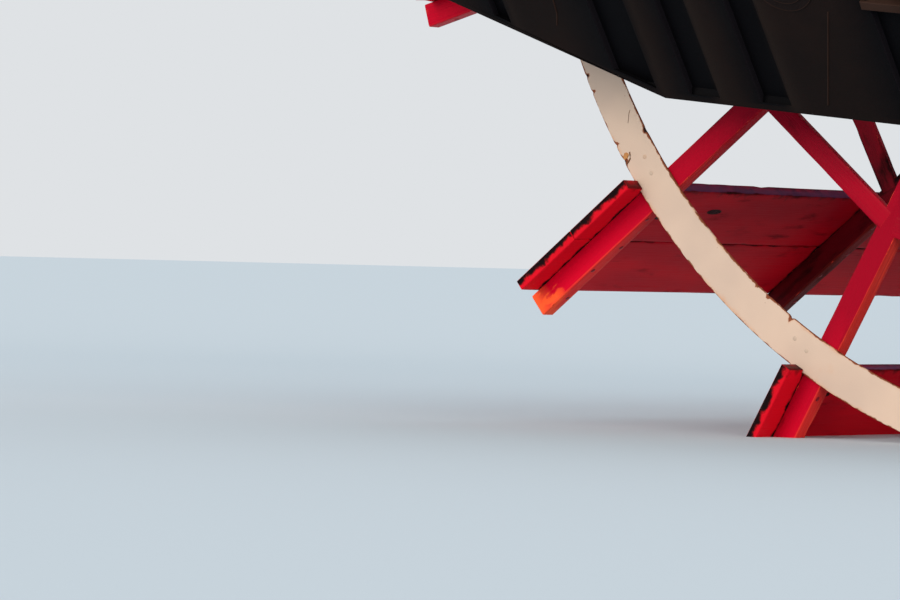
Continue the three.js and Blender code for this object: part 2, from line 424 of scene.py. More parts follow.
@dataclass(frozen=True)
class PlankPaint(PaintedTimber):
    """Crimson paint on the paddles' planks.

    The eye sees the same red with wide, soft worn places, painted shade beside the arms, wet black soil under
    the inner edge, a painted sky reflection along the inner edge, and ends painted brighter as a painted
    highlight.
    """

    fresh: str = "#d81024"
    deep: str = "#a30b20"
    undercoat: str = "#6a1013"
    bare: str = "#170c0e"
    # a painted reflection of the sky along the planks' inner edge
    second_tone: str = "#623e66"
    wandering: Patches = Patches((70, 60, 60), 0.30, 0.80, detail=5)
    chips_from: float = 0.73
    chip_edge: float = 0.24
    chip_mm: Triple = (150, 60, 60)
    chip_detail: float = 3.0
    soil_from: float = 0.56
    soil_full: float = 0.88
    # the radii of the painted light and shade on the planks
    light_from: float = 2.4
    light_full: float = 4.2
    # where the painted highlight on the ends starts and is full, from the outer arms' middle plane
    past_arms: Pair = (-0.10, 0.06)
    end_share: float = 0.80
    # where the painted shade beside an arm fades and ends, from the arm's side, and how far its outline
    # wanders
    arm_shade: Pair = (-0.014, 0.002)
    arm_ragged: float = 0.026
    # at the inner edge, how far the soil's outline wanders, how wide it is, and where the painted sky
    # reflection fades out
    edge_ragged: float = 0.060
    edge_dirt: float = 0.040
    sky_reflection_lies: Pair = (0.0015, 0.0030)
    edge_share: float = 0.80
    gloss: float = 0.03

    def weather(self, tree: Tree, where: Socket, radius: Socket, grain: Socket, paint: Socket) -> Socket:
        """Draws the painted shade beside the arms, the soil and the painted sky reflection at the inner edge,
        and the painted highlight on the ends.

        Args:
            tree: the material's tree.
            where: the surface's place in the part's frame.
            radius: its distance from the shaft's axis.
            grain: its place in the timber. Not used.
            paint: the colour so far.

        Returns:
            The colour with these marks on it.
        """
        ragged = self.wandering.mask(tree, where)
        along = add_node(tree, "SeparateXYZ", links={0: where}, out=1)
        out = add_node(tree, "Math:ABSOLUTE", links={0: along})
        # a painted highlight on the ends past the outer arms
        at_end = add_node(
            tree, "MapRange",
            {"From Min": FLANGES[-1] + self.past_arms[0], "From Max": FLANGES[-1] + self.past_arms[1]},
            {"Value": out})
        bright_share = add_node(tree, "Math:MULTIPLY", {1: self.end_share}, {0: at_end})
        past = add_node(tree, "Math:ADD", {1: FLANGES[-1]}, {0: along})
        # the distance to the nearest arm set's middle plane
        off = add_node(tree, "Math:PINGPONG", {1: FLANGES[2]}, {0: past})
        from_arm = add_node(tree, "Math:MULTIPLY_ADD", {1: -self.arm_ragged}, {0: ragged, 2: off})
        side = ARM_THICK / 2
        # painted shade in the corner beside each arm, on the faces ahead
        beside = add_node(
            tree, "MapRange",
            {"From Min": side + self.arm_shade[0], "From Max": side + self.arm_shade[1],
             "To Min": 1.0, "To Max": 0.0}, {"Value": from_arm})
        inner = add_node(tree, "Math:MULTIPLY_ADD", {1: -self.edge_ragged}, {0: ragged, 2: radius})
        edge = add_node(
            tree, "MapRange",
            {"From Min": Paddles.inner - self.edge_dirt, "From Max": Paddles.inner,
             "To Min": self.edge_share, "To Max": 0.0}, {"Value": inner})
        beside = add_node(tree, "Math:MULTIPLY", links={0: beside, 1: self.faces_ahead(tree, where)})
        soil_and_shade = add_node(tree, "Math:MAXIMUM", links={0: beside, 1: edge})
        # chalky: a painted reflection of the sky along the inner edge
        chalky = add_node(
            tree, "MapRange",
            {"From Min": Paddles.inner + self.sky_reflection_lies[0], "From Max": Paddles.inner + self.sky_reflection_lies[1],
             "To Min": self.edge_share, "To Max": 0.0}, {"Value": radius})
        edge_tone = coated(tree, self.second_tone, [(at_end, self.bare)])
        return coated(tree, paint, [(bright_share, self.fresh), (soil_and_shade, self.bare), (chalky, edge_tone)])


@dataclass(frozen=True)
class RimPaint(Finish):
    """Rolled mild steel bar under cream-white paint.

    The eye sees a soft, chalky cream. Its edges are rust brown with small dark bites, and pale orange runs
    of rust spread from them into the paint.
    """

    fresh: str = "#d4beac"
    second_tone: str = "#c6b2a3"
    stain: str = "#cc8c55"
    rust: str = "#84492f"
    dark: str = "#2c150e"
    chalking: Patches = Patches(700, 0.35, 0.65, detail=3)
    staining: Patches = Patches(170, 0.62, 1.00, push=0.34, detail=5)
    rusting: Patches = Patches(60, 0.87, 0.98, push=0.50, detail=6)
    bites: Patches = Patches(38, 1.09, 1.14, push=0.50, detail=5)
    flecks: Patches = Patches(16, 0.755, 0.775, push=0.06, detail=2)
    roller: Patches = Patches(3, 0.3, 0.7, detail=1)
    stain_share: float = 0.55
    smooth: float = 0.42
    matt: float = 0.85
    gloss: float = 0.20

    def build(self) -> bpy.types.Material:
        """Makes the rusty cream paint."""
        material, tree, shader = self.start()
        grain, wear = self.traces(tree)
        patterns = (self.staining, self.rusting, self.bites, self.flecks)
        stained, rusted, bitten, flecked = (patches.mask(tree, grain, wear) for patches in patterns)
        veil = add_node(tree, "Math:MULTIPLY", {1: self.stain_share}, {0: stained})
        paint = coated(tree, self.second_tone, [
            (self.chalking.mask(tree, grain), self.fresh), (veil, self.stain), (flecked, self.rust),
            (rusted, self.rust), (bitten, self.dark)])
        self.cover(tree, shader, paint, self.roughness(tree, rusted))
        self.carve(tree, shader, [(self.roller.mask(tree, grain), 0.15), (rusted, -0.5), (flecked, -0.3)])
        return material


@dataclass(frozen=True)
class PlatePaint(Finish):
    """Welded steel plate under matt brown-black bitumen paint.

    The eye sees a dull brown black with a faint, cloudy chalking, thin runs down the plates and a slight
    ripple from the welds.
    """

    fresh: str = "#181310"
    second_tone: str = "#2b231e"
    rust: str = "#54301d"
    clouds: Patches = Patches(420, 0.35, 0.75, detail=5)
    drips: Patches = Patches((28, 28, 420), 0.60, 0.85, detail=3)
    drip_share: float = 0.35
    rust_mm: Triple = (60, 60, 160)
    rust_from: float = 0.70
    rust_edge: float = 0.04
    stipple: Patches = Patches(6, 0.3, 0.7, detail=2)
    ripple: Patches = Patches(350, 0.2, 0.8, detail=0)
    smooth: float = 0.55
    matt: float = 0.75
    gloss: float = 0.05

    def build(self) -> bpy.types.Material:
        """Makes the near-black plate paint."""
        material, tree, shader = self.start()
        where = add_node(tree, "TexCoord", out="Object")
        rusting = Patches(self.rust_mm, self.rust_from, self.rust_from + self.rust_edge, detail=6)
        patterns = (self.clouds, self.drips, rusting, self.stipple, self.ripple)
        cloudy, dripped, rusted, stippled, rippled = (patches.mask(tree, where) for patches in patterns)
        veil = add_node(tree, "Math:MULTIPLY", {1: self.drip_share}, {0: dripped})
        paint = coated(tree, self.fresh, [(cloudy, self.second_tone), (veil, self.second_tone), (rusted, self.rust)])
        self.cover(tree, shader, self.shade_and_grime(tree, where, paint), self.roughness(tree, cloudy))
        self.carve(tree, shader, [(rippled, 4.0), (stippled, 0.3), (rusted, -0.4)])
        return material

    def shade_and_grime(self, tree: Tree, where: Socket, paint: Socket) -> Socket:
        """Leaves the paint as it is."""
        return paint


@dataclass(frozen=True)
class BeamPaint(PlatePaint):
    """The same bitumen paint on the beams, with a near-black painted shade on their outboard faces, which
    show in the guards' hollows.
    """

    outer_y: float = 3.2495
    # near-black painted shade on the outboard faces
    painted_shade: str = "#060609"

    def shade_and_grime(self, tree: Tree, where: Socket, paint: Socket) -> Socket:
        """Paints shade on the outboard faces.

        Args:
            tree: the material's tree.
            where: the surface's place in the part's frame.
            paint: the colour so far.

        Returns:
            The colour with the painted shade on it.
        """
        along = add_node(tree, "SeparateXYZ", links={0: where}, out=1)
        out = add_node(tree, "Math:ABSOLUTE", links={0: along})
        hidden = add_node(tree, "Math:GREATER_THAN", {1: self.outer_y}, {0: out})
        return coated(tree, paint, [(hidden, self.painted_shade)])


@dataclass(frozen=True)
class GuardPaint(PlatePaint):
    """The same bitumen paint on the guards, with painted shade in the hollows between their boards.

    The eye sees each board with a painted highlight along its aft edge, fading through painted shade into a
    blue-black painted shade in the hollow beyond its forward edge, and painted light on the hollow's
    forward-facing wall.
    """

    fresh: str = "#150f0e"
    second_tone: str = "#1e1513"
    rust: str = "#2e1712"
    rust_from: float = 0.72
    # painted shade in the hollows between the boards, painted light on the hollows' forward-facing walls, and
    # a painted highlight along each board's aft edge
    hollow: str = "#060609"
    wall: str = "#18171c"
    edge_highlight: str = "#211a17"
    runs: str = "#3a2a20"
    # the share of a board that the painted shade fades over, for no more than this width of it
    fade: float = 0.60
    fade_most: float = 0.35
    # how dark the painted shade is on a board just before its forward edge, and how far before
    shade_ends: Pair = (0.95, 0.01)
    sharp: float = 0.002
    # places forward of a board's aft edge, with the painted highlight's share at each
    highlight_places: tuple[Pair, ...] = ((0.0, 1.0), (0.05, 0.25), (0.10, 0.0))
    wobble: Patches = Patches((90, 90, 260), 0.2, 0.8, detail=3)
    sway: float = 0.02
    # how much of the painted shade and highlight shows on the toe strip, and where it fades there and at the
    # top
    toe_share: float = 0.55
    toe_fade: Pair = (-0.010, -0.006)
    top_fade: Pair = (-0.004, -0.001)
    # how far a hollow's wall faces forward where its painted light starts, and where it is full
    walls: Pair = (0.3, 0.6)
    running: Patches = Patches((34, 34, 700), 0.48, 0.78, detail=4)
    runs_from: float = -0.95
    runs_share: float = 0.8
    table_ends: Pair = (0.02, 0.05)

    def shade_and_grime(self, tree: Tree, where: Socket, paint: Socket) -> Socket:
        """Paints shade into the hollows and across each board towards its forward edge, a painted highlight
        along the boards' aft edges and painted light on the hollows' forward-facing walls, and lets rust run
        down from the deck.

        Args:
            tree: the material's tree.
            where: the surface's place in the part's frame.
            paint: the colour so far.

        Returns:
            The colour with the painted light, shade and rust on it.
        """
        x, _, z = add_node(tree, "SeparateXYZ", links={0: where}).node.outputs
        from_shaft = add_node(
            tree, "Math:MULTIPLY_ADD", {1: self.sway, 2: -SHAFT_X - self.sway / 2},
            {0: self.wobble.mask(tree, where)})
        x_edge = add_node(tree, "Math:ADD", {1: -SHAFT_X}, {0: x})
        x_soft = add_node(tree, "Math:ADD", links={0: x, 1: from_shaft})
        # scuffed: the painted highlight along each board's aft edge; beside it, the painted shade across the
        # boards and in the hollows
        shade_stops, highlight_stops = self.stops()
        painted_shade = self.table(tree, x_soft, shade_stops)
        scuffed = self.table(tree, x_edge, highlight_stops)
        shown = self.shown(tree, x_edge, z)
        # painted light on the hollows' walls that face forward
        normal = add_node(tree, "TexCoord", out="Normal")
        forward = add_node(tree, "SeparateXYZ", links={0: normal})
        fore_wall = add_node(
            tree, "MapRange", {"From Min": self.walls[0], "From Max": self.walls[1]}, {"Value": forward})
        lit_walls = add_node(tree, "Math:MULTIPLY", links={0: painted_shade, 1: fore_wall})
        coats = [
            (add_node(tree, "Math:MULTIPLY", links={0: share, 1: shown}), tone)
            for share, tone in ((scuffed, self.edge_highlight), (painted_shade, self.hollow), (lit_walls, self.wall))]
        below_deck = add_node(
            tree, "MapRange",
            {"From Min": self.runs_from, "From Max": FLARE.top_z, "To Max": self.runs_share},
            {"Value": z})
        run_down = add_node(tree, "Math:MULTIPLY", links={0: self.running.mask(tree, where), 1: below_deck})
        return coated(tree, paint, [*coats, (run_down, self.runs)])

    def stops(self) -> tuple[list[Pair], list[Pair]]:
        """Lays out the painted shade and the painted highlight fore and aft, as places from the shaft with
        the share at each.

        Returns:
            The painted shade's stops and the painted highlight's.
        """
        painted_shade, edge_highlight = [(0.0, 1.0)], [(0.0, 0.0)]
        dark, before = self.shade_ends
        for low, high in FLARE.boards:
            dull = high - self.fade * min(self.fade_most, high - low)
            painted_shade += [(low - self.sharp, 1.0), (low, 0.0), (dull, 0.0), (high - before, dark), (high, 1.0)]
            edge_highlight += [(low - self.sharp, 0.0), *((low + on, share) for on, share in self.highlight_places)]
        return painted_shade, edge_highlight

    def shown(self, tree: Tree, x: Socket, z: Socket) -> Socket:
        """Finds where the painted shade and highlight show: on all of the flare, less on its toe strip and
        not on its top.

        Args:
            tree: the material's tree.
            x: the place fore and aft, from the shaft.
            z: the height.

        Returns:
            The grime's share.
        """
        back = add_node(tree, "Math:ADD", {1: -FLARE.knuckle_x}, {0: x})
        falls = [
            add_node(tree, "Math:MULTIPLY", {1: -slope}, {0: back})
            for slope in (FLARE.belly_slope, FLARE.rake_slope)]
        belly = add_node(tree, "Math:MAXIMUM", links={0: falls[0], 1: falls[1]})
        height = add_node(tree, "Math:SUBTRACT", links={0: z, 1: belly})
        toe = FLARE.knuckle_z + FLARE.toe
        above_toe = add_node(
            tree, "MapRange",
            {"From Min": toe + self.toe_fade[0], "From Max": toe + self.toe_fade[1],
             "To Min": self.toe_share}, {"Value": height})
        under_top = add_node(
            tree, "MapRange",
            {"From Min": FLARE.top_z + self.top_fade[0], "From Max": FLARE.top_z + self.top_fade[1],
             "To Min": 1.0, "To Max": 0.0}, {"Value": z})
        return add_node(tree, "Math:MULTIPLY", links={0: above_toe, 1: under_top})

    def table(self, tree: Tree, x: Socket, stops: Sequence[Pair]) -> Socket:
        """Turns a place fore and aft into a share through a table.

        Args:
            tree: the material's tree.
            x: the place, from the shaft.
            stops: places with the share at each.

        Returns:
            The share's socket.
        """
        aft, fore = FLARE.boards[0][0] - self.table_ends[0], FLARE.boards[-1][1] + self.table_ends[1]
        share = add_node(tree, "MapRange", {"From Min": aft, "From Max": fore}, {"Value": x})
        chosen = add_node(tree, "FloatCurve", links={"Value": share})
        mapping = chosen.node.mapping
        curve = mapping.curves[0]
        places = [(min(1.0, max(0.0, (place - aft) / (fore - aft))), value) for place, value in stops]
        curve.points[0].location = places[0]
        curve.points[1].location = (1.0, places[-1][1])
        for place, value in places[1:]:
            curve.points.new(place, value)
        for point in curve.points:
            point.handle_type = "VECTOR"
        mapping.update()
        return chosen


@dataclass(frozen=True)
class CastIronPaint(Finish):
    """Sand-cast iron under brushed paint.

    The eye sees a slightly pebbled skin under the paint, rust at its edges and along the lower side of
    bolts, and a dull film of old grease.
    """

    fresh: str = "#840b1d"
    soil: str = "#2a1210"
    rust: str = "#4c2113"
    greasing: Patches = Patches(180, 0.45, 0.80, push=0.08, detail=5)
    sand: Patches = Patches(5, 0.25, 0.75, detail=2)
    rust_mm: float = 40
    rust_from: float = 0.84
    rust_edge: float = 0.05
    smooth: float = 0.38
    matt: float = 0.80
    gloss: float = 0.18

    def build(self) -> bpy.types.Material:
        """Makes the painted casting."""
        material, tree, shader = self.start()
        grain, wear = self.traces(tree)
        rusting = Patches(self.rust_mm, self.rust_from, self.rust_from + self.rust_edge, push=0.30, detail=6)
        eaten = rusting.mask(tree, grain, wear)
        greasy = self.greasing.mask(tree, grain, wear)
        paint = coated(tree, self.fresh, [(greasy, self.soil), (eaten, self.rust)])
        self.cover(tree, shader, paint, self.roughness(tree, eaten))
        self.carve(tree, shader, [(self.sand.mask(tree, grain), 0.5), (eaten, -0.4)])
        return material


@dataclass(frozen=True)
class TurnedSteel(Finish):
    """Forged steel, turned bright and kept greased.

    The eye sees a grey gleam with fine rings round the axis, brown bloom where the grease has gone, and
    dark smears of grease.
    """

    bright: str = "#a39d96"
    bloom: str = "#5b3521"
    grease: str = "#15100b"
    # the turning marks of 0.5 mm are drawn 6 mm apart, so that they show
    turning: Patches = Patches((4000, 4000, 6), 0.3, 0.7, detail=1)
    blooming: Patches = Patches((120, 120, 60), 0.56, 0.66, push=0.06, detail=6)
    smears: Patches = Patches((260, 260, 90), 0.54, 0.72, detail=4)
    smooth: float = 0.28
    matt: float = 0.55

    def build(self) -> bpy.types.Material:
        """Makes the turned steel."""
        material, tree, shader = self.start()
        grain, wear = self.traces(tree)
        bloomed = self.blooming.mask(tree, grain, wear)
        smeared = self.smears.mask(tree, grain)
        metal = coated(tree, self.bright, [(bloomed, self.bloom), (smeared, self.grease)])
        covered = add_node(tree, "Math:MAXIMUM", links={0: bloomed, 1: smeared})
        bright_share = add_node(tree, "Math:SUBTRACT", {0: 1.0}, {1: covered})
        tree.links.new(bright_share, shader.inputs["Metallic"])
        self.cover(tree, shader, metal, self.roughness(tree, bloomed))
        self.carve(tree, shader, [(self.turning.mask(tree, grain), 0.12), (smeared, 0.4)])
        return material


class Finishes:
    """Every finish of the wheel and its stern, each made once."""

    def __init__(self) -> None:
        """Makes the finishes."""
        self.arm = ArmPaint("crimson paint on sawn larch arms", primer_from=3.89).build()
        # the inner arms are painted darker, most of all low on the wheel: a painted shade
        self.shaded_inner_arm = ArmPaint(
            "crimson paint on the wet inner arms", fresh="#b80c26", deep="#780a1e", soil_from=0.46,
            soil_full=0.72, low_shade=0.8).build()
        self.plank = PlankPaint("crimson paint on sawn larch planks").build()
        self.knot = PaintedTimber(
            "painted-over knots", fresh="#340b0e", deep="#220809", chips_from=1.4).build()
        self.rim = RimPaint("cream paint on rolled steel bar").build()
        self.rim_bolt = RimPaint("cream paint on rim bolts", fresh="#cbb6a3", second_tone="#b5a495").build()
        self.rim_crack = RimPaint("rust in the cracks of the rim", fresh="#4a3226", second_tone="#2c1a13").build()
        self.rim_lifted = RimPaint("rust-stained paint on the rim", fresh="#cf9a5e", second_tone="#a86a38").build()
        self.bolt = CastIronPaint("crimson paint on forged bolts", fresh="#8e1220", rust_from=0.70).build()
        self.hub = CastIronPaint("crimson paint on cast iron hubs").build()
        self.bearing = CastIronPaint(
            "black paint on cast iron bearings", fresh="#1a1512", soil="#0c0907", rust="#3d1d10").build()
        self.steel = TurnedSteel("turned and greased steel").build()
        self.shaft = CastIronPaint(
            "crimson paint on the forged shaft", fresh="#6e0d18", soil="#1f0e0b", rust_from=0.78).build()
        self.plate = PlatePaint("bitumen paint on welded plate").build()
        self.beam = BeamPaint("bitumen paint on the beams' plates").build()
        self.guard = GuardPaint("bitumen paint on the guards' boards").build()
        self.edge = PlatePaint(
            "scuffed bitumen paint on edge bars", fresh="#231b17", second_tone="#3a2f28", rust_from=0.62).build()
        self.cover = PlatePaint(
            "bitumen paint on the cover plates", fresh="#150f0f", second_tone="#1d1615", rust="#2c1710").build()
        self.seam = PlatePaint(
            "scuffed weld seams", fresh="#2a1d18", second_tone="#382822", rust="#43261b", rust_from=0.66).build()
        # the deck lies outside the wheel, so its radii are set to give it an even tone, with none of the
        # wheel's painted light and shade
        self.deck = PaintedTimber(
            "tarred and trodden deck planks", fresh="#3a312a", deep="#251e1a", undercoat="#57493c",
            bare="#6a5a49",
            soil="#15110f", chips_from=0.80, light_from=-20.0, light_full=20.0, gloss=0.12).build()
        self.bearing_bolt = CastIronPaint(
            "oiled bearing bolts", fresh="#2c2622", soil="#120e0b", rust="#5a2e1a", rust_from=0.66).build()
        self.bronze = TurnedSteel(
            "cast gunmetal bearing shells", bright="#9a7440", bloom="#4a3a22").build()


@dataclass(frozen=True)
class Flare:
    """The flared side of the guards: a plane that leans out from the belly's outboard edge."""

    lean_deg: float = 36.0
    foot_y: float = 3.2513
    top_z: float = -0.400
    # places fore and aft, here and in the boards, are from the shaft
    knuckle_x: float = -1.962
    knuckle_z: float = -1.453
    belly_slope: float = 0.095
    rake_slope: float = 0.416
    toe: float = 0.030  # the strip along its foot
    boards: tuple[Pair, ...] = (
        (-3.660, -3.480), (-3.330, -3.150), (-3.000, -2.755), (-2.670, -2.190), (-1.989, -1.816),
        (-1.657, -1.443), (-1.285, -0.690), (-0.500, -0.310), (-0.150, 0.040), (0.200, 0.390), (0.550, 0.740),
        (0.900, 1.090), (1.250, 1.440), (1.600, 1.790), (1.950, 2.140), (2.300, 2.490), (2.650, 2.840),
        (3.000, 3.190), (3.350, 3.540), (3.700, 3.890), (4.050, 4.240))

    @property
    def lean(self) -> float:
        """How far it leans out, in radians."""
        return radians(self.lean_deg)

    @property
    def fall(self) -> float:
        """The belly's slope as an angle."""
        return atan(self.belly_slope)

    @property
    def knuckle(self) -> Vector:
        """The belly's knuckle on the middle plane."""
        return Vector((SHAFT_X + self.knuckle_x, 0, self.knuckle_z))

    def place(self, side: Side) -> Matrix:
        """Finds the flare's own frame, which stands at the knuckle.

        Args:
            side: which guard's flare.

        Returns:
            A place with x along the belly, y up the flare and z out of it.
        """
        out = Vector((0, side.value, 0))
        rise = Vector((sin(self.fall), 0, cos(self.fall)))
        along = Vector((cos(self.fall), 0, -sin(self.fall)))
        up = out * sin(self.lean) + rise * cos(self.lean)
        away = out * cos(self.lean) - rise * sin(self.lean)
        turn = Matrix((along, up, away)).transposed().to_4x4()
        return Matrix.Translation(self.knuckle + out * self.foot_y) @ turn

    def at(self, side: Side, x: float, up: float) -> Vector:
        """The point at a place fore and aft, from the shaft, and a way up the flare."""
        along = (x - self.knuckle_x - up * cos(self.lean) * sin(self.fall)) / cos(self.fall)
        return self.place(side) @ Vector((along, up, 0.0))

    def belly(self, x: float) -> float:
        """The height of the belly or of the rake, from its place fore and aft."""
        slope = self.belly_slope if x > self.knuckle_x else self.rake_slope
        return self.knuckle_z - slope * (x - self.knuckle_x)


FLARE = Flare()


# Mesh helpers

def seeded_offset(seed: float) -> Vector:
    """A far-off place in the patterns, so that no two timbers look the same."""
    return Vector((seed * 13.7 % 61, seed * 7.31 % 53, seed * 3.37 % 47))


def polar(angle: float, radius: float, y: float) -> Vector:
    """A point of the wheel from its angle, radius and place along the shaft."""
    return Vector((SHAFT_X + radius * cos(angle), y, radius * sin(angle)))


def axes(x: Vector, y: Vector, origin: Vector) -> Matrix:
    """A place with its x and y along two directions that are square to each other."""
    return Matrix.Translation(origin) @ Matrix((x, y, x.cross(y))).transposed().to_4x4()


def round_at(radius: float, angle: float) -> Pair:
    """A point on a circle about the origin."""
    return radius * cos(angle), radius * sin(angle)


def outward(angle: float) -> Vector:
    """The direction out from the shaft at an angle."""
    return Vector((cos(angle), 0, sin(angle)))


def onward(angle: float) -> Vector:
    """The direction round the shaft in which the angle grows."""
    return Vector((-sin(angle), 0, cos(angle)))


def spoke(angle: float, y: float) -> Matrix:
    """A place on the shaft's axis: x runs out at the angle, y the way that it grows, z to the near side."""
    return axes(outward(angle), onward(angle), Vector((SHAFT_X, y, 0)))


def on_shaft(y: float) -> Matrix:
    """A place on the shaft's axis, with z to the far side."""
    return axes(UP, FORE, Vector((SHAFT_X, y, 0)))


def facing(point: Vector, normal: Vector) -> Matrix:
    """A place on a surface, with z out of it."""
    return Matrix.Translation(point) @ normal.to_track_quat("Z", "Y").to_matrix().to_4x4()


def shift(x: float, y: float, z: float) -> Matrix:
    """A move along the axes."""
    return Matrix.Translation((x, y, z))


def seed_at(place: Matrix) -> float:
    """A seed of its own for each place."""
    x, y, z = place.translation
    return x * 3 + z * 5 + y


@dataclass(frozen=True)
class Sawing:
    """How timbers were sawn and have been knocked about, in metres."""

    band: float = 0.022
    band_share: float = 0.4
    wander: float = 0.0014
    wander_waves: float = 2.3
    knock_waves: float = 8.7
    # the pattern's value where a knock starts, and how much more makes it deepest
    knock_from: float = 0.30
    knock_rise: float = 0.35
    # how far the middle of a rounded edge stands back, as a share of its arris
    rounding: float = 0.29
    # at a notch: the next station's distance, the lean of its sides, and the rise of its bottom
    clear: float = 0.004
    flank: float = 0.0002
    sole: float = 0.05


SAWING = Sawing()


@dataclass
class Sketch:
    """The mesh of one piece, built from closed shells, with the grain and wear that its finish reads."""

    points: list[Vector] = field(default_factory=list)
    grain: list[Vector] = field(default_factory=list)
    wear: list[float] = field(default_factory=list)
    faces: list[tuple[int, ...]] = field(default_factory=list)
    coats: list[int] = field(default_factory=list)

    def loft(
        self, place: Matrix, rings: Sequence[Sequence[Vector]], wears: Sequence[Sequence[float]], seed: float,
        coat: int = 0, looped: bool = False,
    ) -> None:
        """Skins a row of rings, and caps it unless it closes on itself.

        Args:
            place: from the rings' own frame to the part's.
            rings: rings of the same number of points.
            wears: the wear at each of those points.
            seed: picks the shell's place in the patterns.
            coat: the number of its finish.
            looped: whether the last ring joins the first.
        """
        offset = seeded_offset(seed)
        first = len(self.points)
        count = len(rings[0])
        for ring, worn in zip(rings, wears):
            for point, value in zip(ring, worn):
                self.points.append(place @ point)
                self.grain.append(point + offset)
                self.wear.append(value)
        for i in range(len(rings) - (0 if looped else 1)):
            low = first + i * count
            high = first + (i + 1) % len(rings) * count
            for j in range(count):
                k = (j + 1) % count
                self.faces.append((low + j, low + k, high + k, high + j))
                self.coats.append(coat)
        if not looped:
            for end in (first, first + (len(rings) - 1) * count):
                for j in range(count // 2 - 1):
                    self.faces.append((end + j, end + j + 1, end + count - 2 - j, end + count - 1 - j))
                    self.coats.append(coat)

    def timber(
        self, place: Matrix, length: float, wide: float, thick: float, seed: float,
        end_wear: Pair = (0.5, 0.5),
        notches: Sequence[Triple] = (), step: float = 0.05, arris: float = 0.004, nick: float = 0.010,
    ) -> None:
        """Adds a sawn timber from the place along its x, with wandering saw lines and knocked edges.

        Args:
            place: the middle of the timber's first end.
            length: along x.
            wide: along y.
            thick: along z.
            seed: picks its own knocks and its place in the grain.
            end_wear: the wear along the two edges of its end faces, towards its high z and towards its low z.
            notches: cuts into its low y side, each from x, to x, and deep.
            step: distance between the stations along it.
            arris: how far its edges are rounded off.
            nick: the deepest knock in an edge.
        """
        half_w, half_t = wide / 2, thick / 2
        clear, flank = SAWING.clear, SAWING.flank
        band = min(SAWING.band, SAWING.band_share * thick)
        count = max(2, round((length - 2 * arris) / step))
        inner = [arris + (length - 2 * arris) * i / count for i in range(count + 1)]
        inner = [x for x in inner if not any(low - clear < x < high + clear for low, high, _ in notches)]
        stations = [(x, 0.0, 0.0) for x in inner]
        for low, high, deep in notches:
            stations += [
                (low - flank, 0.0, 0.0), (low, 0.0, deep), (high, 0.0, deep), (high + flank, 0.0, 0.0)]
        stations = [(0.0, arris, 0.0), *sorted(stations), (length, arris, 0.0)]
        rings, wears = [], []
        for x, shrink, deep in stations:
            ring, worn = [], []
            for corner, (sw, st) in enumerate(((1, 1), (-1, 1), (-1, -1), (1, -1))):
                # the plain numbers beside the waves only set the corners and the timbers apart
                stray = noise.noise(Vector((x * SAWING.wander_waves, corner * 7.3, seed)))
                wander = SAWING.wander * (0.5 + 0.5 * stray)
                knock = noise.noise(Vector((x * SAWING.knock_waves, corner * 5.1 + 40, seed * 1.7)))
                off = arris + max(0.0, knock - SAWING.knock_from) * nick / SAWING.knock_rise
                back = SAWING.rounding * off
                w, t = half_w - wander - shrink, half_t - wander - shrink
                corner_points = [
                    (w, t - band, 0.0), (w, t - off, 0.8), (w - back, t - back, 1.0),
                    (w - off, t, 0.8), (w - band, t, 0.0)]
                if corner % 2:
                    corner_points.reverse()
                for pw, pt, value in corner_points:
                    y = sw * pw
                    if deep:
                        y = max(y, deep - half_w + SAWING.sole * (half_w - pw))
                    ring.append(Vector((x, y, st * pt)))
                    worn.append(value)
            if shrink:
                worn = [end_wear[0] if point.z > 0 else end_wear[1] for point in ring]
            rings.append(ring)
            wears.append(worn)
        self.loft(place, rings, wears, seed)

    def lathe(
        self, place: Matrix, profile: Sequence[Triple], segments: int, looped: bool = False, coat: int = 0,
        seed: float = 0.0,
    ) -> None:
        """Adds a turned shell about the place's z.

        Args:
            place: where the axis stands.
            profile: radius, height and wear of each ring.
            segments: points round a ring.
            looped: whether the profile closes on itself, as round a bore.
            coat: the number of its finish.
            seed: its place in the patterns.
        """
        turns = [2 * pi * i / segments for i in range(segments)]
        rings = [[Vector((*round_at(r, a), h)) for a in turns] for r, h, _ in profile]
        wears = [[worn] * segments for _, _, worn in profile]
        self.loft(place, rings, wears, seed, coat, looped)

    def prism(
        self, place: Matrix, outline: Sequence[Pair], height: float, chamfer: float, coat: int = 0,
        seed: float = 0.0,
    ) -> None:
        """Adds a plate with chamfered edges, standing on the place's z.

        Args:
            place: where its outline lies.
            outline: x and y of its corners, counterclockwise.
            height: how thick it is.
            chamfer: how far its edges are taken off.
            coat: the number of its finish.
            seed: its place in the patterns.
        """
        corners = [Vector(p) for p in outline]
        inset = []
        for i, here in enumerate(corners):
            into = (here - corners[i - 1]).normalized()
            on = (corners[(i + 1) % len(corners)] - here).normalized()
            normal = Vector((-into.y - on.y, into.x + on.x)).normalized()
            lean = max(0.3, normal.dot(Vector((-into.y, into.x))))
            inset.append(here + normal * chamfer / lean)
        levels = [(inset, 0.0), (corners, chamfer), (corners, height - chamfer), (inset, height)]
        rings = [[Vector((p.x, p.y, z)) for p in ring] for ring, z in levels]
        wears = [[value] * len(corners) for value in (0.24, 0.6, 0.6, 0.24)]
        self.loft(place, rings, wears, seed, coat)

    def bar(
        self, place: Matrix, size: Triple, chamfer: float = 0.002, coat: int = 0, seed: float = 0.0,
    ) -> None:
        """Adds a chamfered bar of a size along x, y and z, with the middle of its foot at the place."""
        a, b = size[0] / 2, size[1] / 2
        self.prism(place, [(-a, -b), (a, -b), (a, b), (-a, b)], size[2], chamfer, coat, seed)

